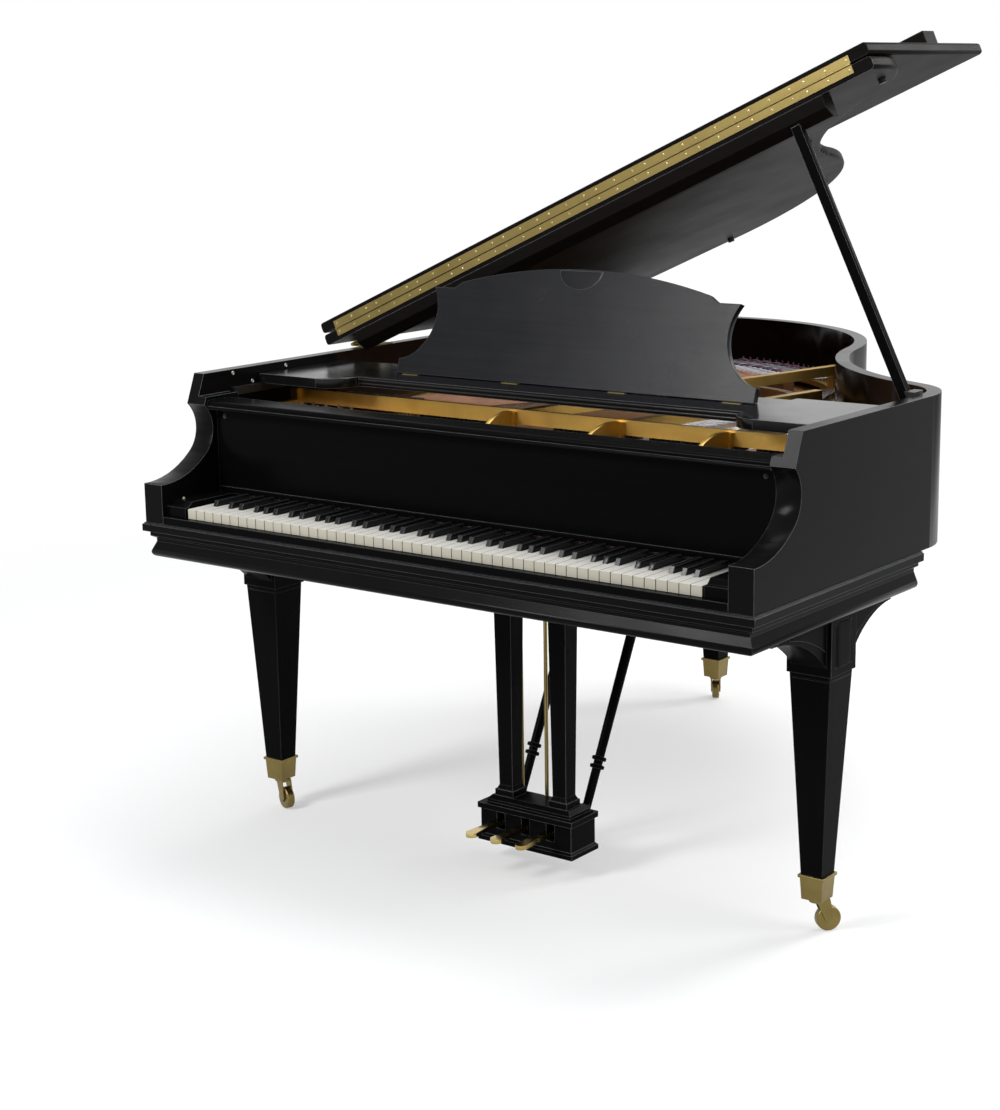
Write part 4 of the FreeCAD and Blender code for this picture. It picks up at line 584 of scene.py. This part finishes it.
ivory = ivory_keys()
sharps = lacquer("sharp_black", (40.0, 4.0, 40.0), 0.1, (0.0050, 0.0050, 0.0054), (0.2, 0.3), 0.16)
red_felt = felt("red_felt", (0.050, 0.004, 0.005), (0.030, 0.002, 0.003))
plum_felt = felt("plum_felt", (0.16, 0.025, 0.10), (0.08, 0.012, 0.05))
grey_felt = felt("damper_felt", (0.045, 0.045, 0.047), (0.02, 0.02, 0.02))
rubber = felt("bumper_rubber", (0.03, 0.03, 0.03), (0.02, 0.02, 0.02))
print("keys, felts and rubber ready")

# %% [markdown]
# Now each solid gets its finish. A real arris is never knife sharp: it is sanded to a small round that draws
# a bright line along every edge. The solids arrive as loose triangles, so three modifiers do it without
# touching the mesh: weld the triangles, dissolve flat joins, then bevel what is left.

# %% Finishes and softened edges
finishes = {
    black_case: ["outer_rim", "base_moulding"],
    black_front: ["key_slip", "key_blocks", "stretcher_rail", "fallboard"],
    black_shelf: ["music_shelf"],
    black_long: ["lid_main", "lid_batten", "lid_flap", "flap_drop_rail"],
    black_leg: ["leg_left", "leg_right", "leg_tail", "lyre", "lyre_braces", "lid_prop", "short_prop"],
    black_desk: ["music_desk"],
    brass: ["desk_hinges", "hinge_leaf_lid", "hinge_leaf_flap", "spine_hinges_case", "spine_hinges_lid",
            "leg_ferrules", "caster_fork_left", "caster_fork_right", "caster_fork_tail",
            "caster_wheel_left", "caster_wheel_right", "caster_wheel_tail", "pedal_rod_left",
            "pedal_rod_middle", "pedal_rod_right"],
    polished: ["pedal_left", "pedal_middle", "pedal_right"],
    bronze: ["cast_plate"],
    dark_steel: ["prop_bracket"],
    steel: ["plate_bolts", "string_pins", "treble_strings"],
    copper: ["bass_strings"],
    spruce: ["soundboard", "soundboard_ribs"],
    rim_maple: ["inner_rim"],
    stained: ["case_beams", "keybed"],
    maple: ["key_frame", "action_rail", "pinblock", "bridges",
            "hammers_white_odd", "hammers_white_even", "hammers_black"],
    ivory: ["keys_white_odd", "keys_white_even"],
    sharps: ["keys_black"],
    grey_felt: ["dampers"],
    rubber: ["lid_bumpers"],
}
for material, names in finishes.items():
    for name in names:
        mesh = nodes[name].data
        mesh.materials.clear()
        mesh.materials.append(material)
dressed = {name for names in finishes.values() for name in names}
print("finished", len(dressed), "left over", sorted(set(nodes) - dressed))

arris_mm = {
    "outer_rim": 0.4, "base_moulding": 0.8, "key_slip": 1.0, "key_blocks": 1.5, "fallboard": 1.5,
    "music_shelf": 1.5, "music_desk": 1.2, "lid_main": 1.5, "lid_batten": 1.5, "lid_flap": 1.5,
    "flap_drop_rail": 1.5, "leg_left": 1.2, "leg_right": 1.2, "leg_tail": 1.2, "lyre": 1.2, "lid_prop": 0.8,
    "leg_ferrules": 0.8, "cast_plate": 1.5, "keys_white_odd": 0.7, "keys_white_even": 0.7, "keys_black": 1.2,
    "pedal_left": 3.4, "pedal_middle": 3.4, "pedal_right": 3.4, "prop_bracket": 0.8,
}
weld_reach, flat_deg, arris_from_deg = 0.00002, 0.5, 28
for name, width in arris_mm.items():
    piece = nodes[name]
    weld = piece.modifiers.new("weld", "WELD")
    weld.merge_threshold = weld_reach
    flat = piece.modifiers.new("flat", "DECIMATE")
    flat.decimate_type = "DISSOLVE"
    flat.angle_limit = np.radians(flat_deg)
    arris = piece.modifiers.new("arris", "BEVEL")
    arris.width = width / 1000
    arris.segments = 2
    arris.limit_method = "ANGLE"
    arris.angle_limit = np.radians(arris_from_deg)
    arris.harden_normals = True
    arris.use_clamp_overlap = True
print("softened", len(arris_mm))

# %% [markdown]
# Screws tell the eye how large a thing is. The long hinge has one row in each leaf, in threes with a short
# step between, and each is a low turned head. A turned shape is a profile swung round an axis, so its points
# are one array product. The slot is not cut: the material paints it dark, as painted shade, from an attribute
# that each head carries.

# %% Turned heads: screws, buttons and knobs
slot_turn = 2.4


def turned(centres, outward, profile, segments=12):
    """point = centre + r (cos a u + sin a v) + h outward, over the angle a and each (r, h) of the profile."""
    n = np.asarray(outward, float) / np.linalg.norm(outward)
    u = np.cross(n, np.roll(n, 1))
    u /= np.linalg.norm(u)
    a = np.linspace(0, 2 * np.pi, segments, endpoint=False)
    ring = np.cos(a)[:, None] * u + np.sin(a)[:, None] * np.cross(n, u)
    r, h = np.asarray(profile, float).T
    shape = r[:, None, None] * ring + h[:, None, None] * n
    return np.asarray(centres, float)[:, None, None, :] + shape, a, r


def turned_piece(name, centres, outward, profile, body, material):
    """One mesh of many turned heads; attribute head = (cos, sin) of the angle, out to 1 at the edge."""
    points, a, r = turned(centres, outward, profile)
    count, rows, columns = points.shape[:3]
    faces = repeated(shell_faces(rows, columns), count, rows * columns)
    piece = mesh_piece(name, points, faces, body, material)
    turn = a + slot_turn * np.arange(count)[:, None, None]
    share = (r / r.max())[None, :, None]
    head = np.stack([share * np.cos(turn), share * np.sin(turn), 0 * share * turn], axis=-1)
    piece.data.attributes.new("head", "FLOAT_VECTOR", "POINT").data.foreach_set("vector", head.ravel())
    print(name, "copies", count)
    return piece


def slotted(name, bright, dull):
    """Metal head with a slot painted dark, as painted shade, where the first part of its attribute is near
    nought.
    """
    f = Finish(name, Metallic=1.0)
    marks = f.group("marks", Size=60.0)
    head = add(f.tree, "ShaderNodeAttribute", attribute_name="head")
    parts = add(f.tree, "ShaderNodeSeparateXYZ")
    f.tree.links.new(head.outputs["Vector"], parts.inputs["Vector"])
    size = add(f.tree, "ShaderNodeMath", operation="ABSOLUTE")
    f.tree.links.new(parts.outputs["X"], size.inputs[0])
    # The slot is not cut: it is painted dark, as painted shade.
    painted_slot_shade = f.span(size.outputs[0], 1.0, 0.0, 0.12, 0.18)
    tone = f.blend(marks.outputs["Mark"], bright, dull)
    f.feed("Base Color", f.blend(painted_slot_shade, tone, (0.03, 0.025, 0.015)))
    f.feed("Roughness", f.span(painted_slot_shade, 0.30, 0.7))
    return f.material


brass_screw = slotted("brass_screw", (0.56, 0.46, 0.23), (0.34, 0.26, 0.11))
steel_screw = slotted("steel_screw", (0.50, 0.49, 0.45), (0.34, 0.33, 0.30))
print("screw finishes", 2)

# %% [markdown]
# The hinge is on the open lid, so its screws are placed on the closed lid and swung up with it.
# Cupped screws sit inside the rim, a soft button near each end of the fallboard, a knob on each key block.

# %% Hinge, rim and key-block fittings
open_turn = np.radians(23.5)
spine_x, spine_z = -741.0, 983.0


def on_lid(x, y, z):
    """Closed-lid point swung up about the spine: turn (x, z) about the hinge line by the opening angle."""
    dx, dz = np.asarray(x, float) - spine_x, np.asarray(z, float) - spine_z
    turned_x = spine_x + dx * np.cos(open_turn) - dz * np.sin(open_turn)
    turned_z = spine_z + dx * np.sin(open_turn) + dz * np.cos(open_turn)
    return np.stack(np.broadcast_arrays(turned_x, y, turned_z), axis=-1)


screw_head = [(0.6, 0.42), (1.9, 0.36), (2.7, 0.16), (3.0, -0.2), (0.6, -0.2)]
first_screw, screw_threes, three_pitch = 688.5, 11, 128.0
screw_steps = np.array([0.0, 47.5, 95.5])
hinge_x = (first_screw - three_pitch * np.arange(screw_threes)[:, None] - screw_steps).ravel()
hinge_face_y = 590.5
for leaf, z in (("lid", 1003.4), ("flap", 1022.6)):
    turned_piece("hinge_screws_" + leaf, on_lid(hinge_x, hinge_face_y, z), (0, -1, 0), screw_head,
                 leaf, brass_screw)

cup_head = [(0.6, 0.7), (2.0, 0.7), (2.5, 0.3), (3.3, 1.1), (4.4, 0.7), (4.6, -0.3), (0.6, -0.3)]
rim_spots = np.array([[-693.0, 242.0, 971.0], [-693.0, 405.0, 969.5], [-693.0, 300.0, 948.0]])
turned_piece("rim_screws_left", rim_spots, (1, 0, 0), cup_head, "case", steel_screw)
turned_piece("rim_screws_right", rim_spots * (-1, 1, 1), (-1, 0, 0), cup_head, "case", steel_screw)

button = [(1.0, 3.0), (3.6, 2.8), (4.8, 1.8), (5.0, -0.5), (1.0, -0.5)]
button_spots = [[-645, 166, 893], [645, 166, 893]]
turned_piece("fallboard_buttons", button_spots, (0, -1, 0), button, "fall", rubber)
knob = [(0.8, 4.2), (2.6, 3.8), (3.6, 2.4), (2.8, 1.0), (4.4, 0.5), (4.6, -0.4), (0.8, -0.4)]
knob_spots = [[-655, 46, 737], [655, 46, 737]]
turned_piece("block_knobs", knob_spots, (0, 0, 1), knob, "case", steel_screw)

# %% [markdown]
# Felt shows in two places. Under the fallboard a slim black foot ends in a red strip, which keeps dust off
# the key levers.
# A plum braid is woven over and under the wound strings in front of their pins, to still the short ends.
# Both are a rounded strip carried along a path, and the braid's path rises and falls like a wave.

# %% Felt strips


def strip(path, side, normal, half, height, power=4.0, segments=12):
    """point = path + half C side + height S normal, (C, S) a rounded square of the angle (superellipse)."""
    a = np.linspace(0, 2 * np.pi, segments, endpoint=False) + np.pi / segments
    c = np.sign(np.cos(a)) * np.abs(np.cos(a)) ** (2 / power)
    d = np.sign(np.sin(a)) * np.abs(np.sin(a)) ** (2 / power)
    side, normal = np.broadcast_to(side, path.shape), np.broadcast_to(normal, path.shape)
    wide = half * c[None, :, None] * side[:, None]
    tall = height * d[None, :, None] * normal[:, None]
    return path[:, None] + wide + tall


def strip_piece(name, path, side, normal, half, height, body, material, ring=False, power=4.0):
    """Object of a strip; a ring joins its end to its start, and other strips are capped."""
    path, side, normal = (np.asarray(part, float) for part in (path, side, normal))
    points = strip(path, side, normal, half, height, power)
    faces = shell_faces(points.shape[0], points.shape[1], ring)
    print(name, "points", points.shape[0] * points.shape[1])
    return mesh_piece(name, points, faces, body, material)


felt_half, foot_half, felt_count = 612.0, 669.0, 60
felt_x = np.linspace(-felt_half, felt_half, felt_count)
felt_path = np.stack([felt_x, np.full(felt_count, 170.5), np.full(felt_count, 728.6)], axis=-1)
strip_piece("nameboard_felt", felt_path, (0, 1, 0), (0, 0, 1), 2.5, 2.1, "fall", red_felt)
foot_x = felt_x * foot_half / felt_half
foot_path = np.stack([foot_x, np.full(felt_count, 172.5), np.full(felt_count, 737.1)], axis=-1)
strip_piece("nameboard_foot", foot_path, (0, 1, 0), (0, 0, 1), 5.5, 6.9, "fall", black_front,
            power=9.0)

tail_x, tail_y, wire_z, weave = -275, 1091, 881.0, 1.7


def braid_path(radius, first_deg, last_deg, wave, lift):
    """Arc about the tail's centre; height = wires + lift + weave sin(2 pi s / wave), s the length run."""
    a = np.radians(np.linspace(first_deg, last_deg, 190))
    along = radius * (a - a[0])
    z = wire_z + lift + weave * np.sin(2 * np.pi * along / wave)
    return np.stack([tail_x + radius * np.cos(a), tail_y + radius * np.sin(a), z], axis=-1), a


for name, radius, wave in (("string_braid_back", 471.0, 36.0), ("string_braid_front", 401.0, 40.0)):
    path, a = braid_path(radius, 40.5, 87.0, wave, 2.0)
    outward = np.stack([np.cos(a), np.sin(a), 0 * a], axis=-1)
    strip_piece(name, path, outward, (0, 0, 1), 8.5, 2.2, "case", plum_felt, power=2.6)

# %% [markdown]
# Low joinery catches light on flat black faces. The two front legs have raised panels on their heads and
# corbels. A panel is its outline shrunk towards its middle in rings, flat on top, round at the edge and
# sunk behind.

# %% Raised panels on the legs
leg_axes = {"left": (-666.0, 314.0), "right": (652.0, 358.0), "tail": (-311.0, 1560.0)}
panel_lift, head_depth, corbel_depth, corbel_start = 1.6, 46.0, 36.0, 53


def panel_piece(name, outline, place, height, body, material):
    """point = place(middle + scale (outline - middle), lift): scale grows on top, then goes down the edge."""
    outline = np.asarray(outline, float)
    middle = outline.mean(axis=0)
    scale = np.array([0.03, 0.5, 0.90, 0.955, 0.985, 1.0, 1.0, 0.03])
    lift = np.array([1.0, 1.0, 1.0, 0.92, 0.55, 0.05, -0.4, -0.4]) * height
    flat = middle + scale[:, None, None] * (outline - middle)
    points = place(flat[..., 0], flat[..., 1], np.broadcast_to(lift[:, None], flat.shape[:2]))
    print(name, "rings", len(scale), "round", len(outline))
    return mesh_piece(name, points, shell_faces(len(scale), len(outline)), body, material)


def curve_between(start, bend, end, count):
    """Quadratic curve: (1-t)^2 start + 2 t (1-t) bend + t^2 end, without its last point."""
    t = np.linspace(0, 1, count, endpoint=False)[:, None]
    start, bend, end = (np.asarray(p, float) for p in (start, bend, end))
    return (1 - t) ** 2 * start + 2 * t * (1 - t) * bend + t ** 2 * end


def line_between(start, end, count=8):
    """Straight run of points without its last one."""
    return curve_between(start, (np.asarray(start, float) + np.asarray(end, float)) / 2, end, count)


def leg_panels(label, axis_x, axis_y, outward):
    """Panel on the head, with round lower corners, and a hollow-sided panel on each corbel."""
    def on_face(depth):
        def place(y, z, lift):
            return np.stack([axis_x + outward * (depth + lift), axis_y + y, z], axis=-1)
        return place

    head = np.concatenate([
        line_between((-25, 607), (25, 607)), line_between((25, 607), (25, 534)),
        curve_between((25, 534), (25, 520), (11, 520), 6), line_between((11, 520), (-11, 520)),
        curve_between((-11, 520), (-25, 520), (-25, 534), 6), line_between((-25, 534), (-25, 607))])
    panel_piece("leg_panel_head_" + label, head, on_face(head_depth), panel_lift,
                "case", black_leg)
    for mark, reach, word in ((-1, 178.0, "front"), (1, 152.0, "back")):
        near, far = mark * corbel_start, mark * reach
        bend = mark * 0.5 * (corbel_start + reach)
        corbel = np.concatenate([
            line_between((near, 608), (near, 556)),
            curve_between((near, 556), (bend, 594), (far, 602), 14),
            line_between((far, 602), (far, 608), 3),
            line_between((far, 608), (near, 608))])
        panel_piece("leg_panel_" + word + "_" + label, corbel, on_face(corbel_depth), panel_lift,
                    "case", black_leg)


leg_panels("left", *leg_axes["left"], -1.0)
leg_panels("right", *leg_axes["right"], 1.0)

# %% [markdown]
# A thin band runs round each leg under its head, and two beads run along the front of the shelf.
# The band follows a superellipse, which is a square with slightly round corners.

# %% Bands on the legs and beads on the shelf
square_power, band_z, band_half = 24, 497.0, 41.7


def square_ring(cx, cy, z, half, count=96):
    """|x|^p + |y|^p = half^p about an axis, p = square_power, with its outward directions."""
    a = np.linspace(0, 2 * np.pi, count, endpoint=False)
    c, d = np.cos(a), np.sin(a)
    size = (np.abs(c) ** square_power + np.abs(d) ** square_power) ** (-1 / square_power)
    slope = square_power - 1
    out = np.stack([np.sign(c) * np.abs(c) ** slope, np.sign(d) * np.abs(d) ** slope, 0 * a], axis=-1)
    out /= np.linalg.norm(out, axis=1)[:, None]
    return np.stack([cx + half * size * c, cy + half * size * d, np.full(count, z)], axis=-1), out


for label, (cx, cy) in leg_axes.items():
    path, out = square_ring(cx, cy, band_z, band_half)
    strip_piece("leg_band_" + label, path, (0, 0, 1), out, 1.6, 1.0, "case", black_leg,
                ring=True, power=2.0)

bead_count, bead_half, bead_y = 40, 464, 384.0
bead_x = np.linspace(-bead_half, bead_half, bead_count)
for label, z in (("upper", 956.5), ("lower", 948.5)):
    path = np.stack([bead_x, np.full(bead_count, bead_y), np.full(bead_count, z)], axis=-1)
    strip_piece("shelf_bead_" + label, path, (0, 0, 1), (0, 1, 0), 1.8, 1.5, "shelf",
                black_shelf, power=2.0)

# %% [markdown]
# The solids cut the inner front corner of each side table straight. A segment of a disc rounds it off, and
# reaches a little into the solid so that no gap shows.

# %% Round corners of the side tables
corner_radius, corner_middle = 60.0, np.array([527.0, 376.0])
table_low, table_high, overlap = 941.85, 962.15, 3.0
edge_start, edge_end = 0.3, 1.1


def table_corner(name, mark):
    """Disc segment outside a chord, stacked in height: point = middle + scale (outline - middle), z."""
    a = np.linspace(np.pi, 1.5 * np.pi, 28)
    arc = corner_middle + corner_radius * np.stack([np.cos(a), np.sin(a)], axis=-1)
    chord = line_between(arc[-1] + overlap, arc[0] + overlap, 12)
    outline = np.concatenate([arc, chord, [arc[0] + overlap]])
    middle = outline.mean(axis=0)
    scale = np.array([0.03, 0.965, 0.988, 1.0, 1.0, 0.988, 0.965, 0.03])
    z = np.array([table_high, table_high, table_high - edge_start, table_high - edge_end,
                  table_low + edge_end, table_low + edge_start, table_low, table_low])
    flat = middle + scale[:, None, None] * (outline - middle)
    tall = np.broadcast_to(z[:, None], flat.shape[:2])
    points = np.stack([mark * flat[..., 0], flat[..., 1], tall], axis=-1)
    print(name, "points", points.size // 3)
    mesh_piece(name, points, shell_faces(len(scale), len(outline)), "shelf", black_shelf)


table_corner("table_corner_left", -1.0)
table_corner("table_corner_right", 1.0)

# %% [markdown]
# At the crown of the desk a half disc marks the finger patch. It is a very low panel on the leaning board.

# %% Finger patch on the desk
lean = np.radians(18.0)
desk_y, desk_z = 472.0, 963.4


def on_desk(u, v, lift):
    """Desk face: u across, v up the leaning board from its hinge line, lift out of its front."""
    y = desk_y + v * np.sin(lean) - lift * np.cos(lean)
    z = desk_z + v * np.cos(lean) + lift * np.sin(lean)
    return np.stack([u, y, z], axis=-1)


a = np.linspace(np.pi, 2 * np.pi, 40)
half_disc = np.concatenate([np.stack([-6 + 52 * np.cos(a), 236 + 38 * np.sin(a)], axis=-1),
                            line_between((46, 236.3), (-58, 236.3), 20)[1:]])
panel_piece("desk_finger_patch", half_disc, on_desk, 0.5, "desk", black_patch)
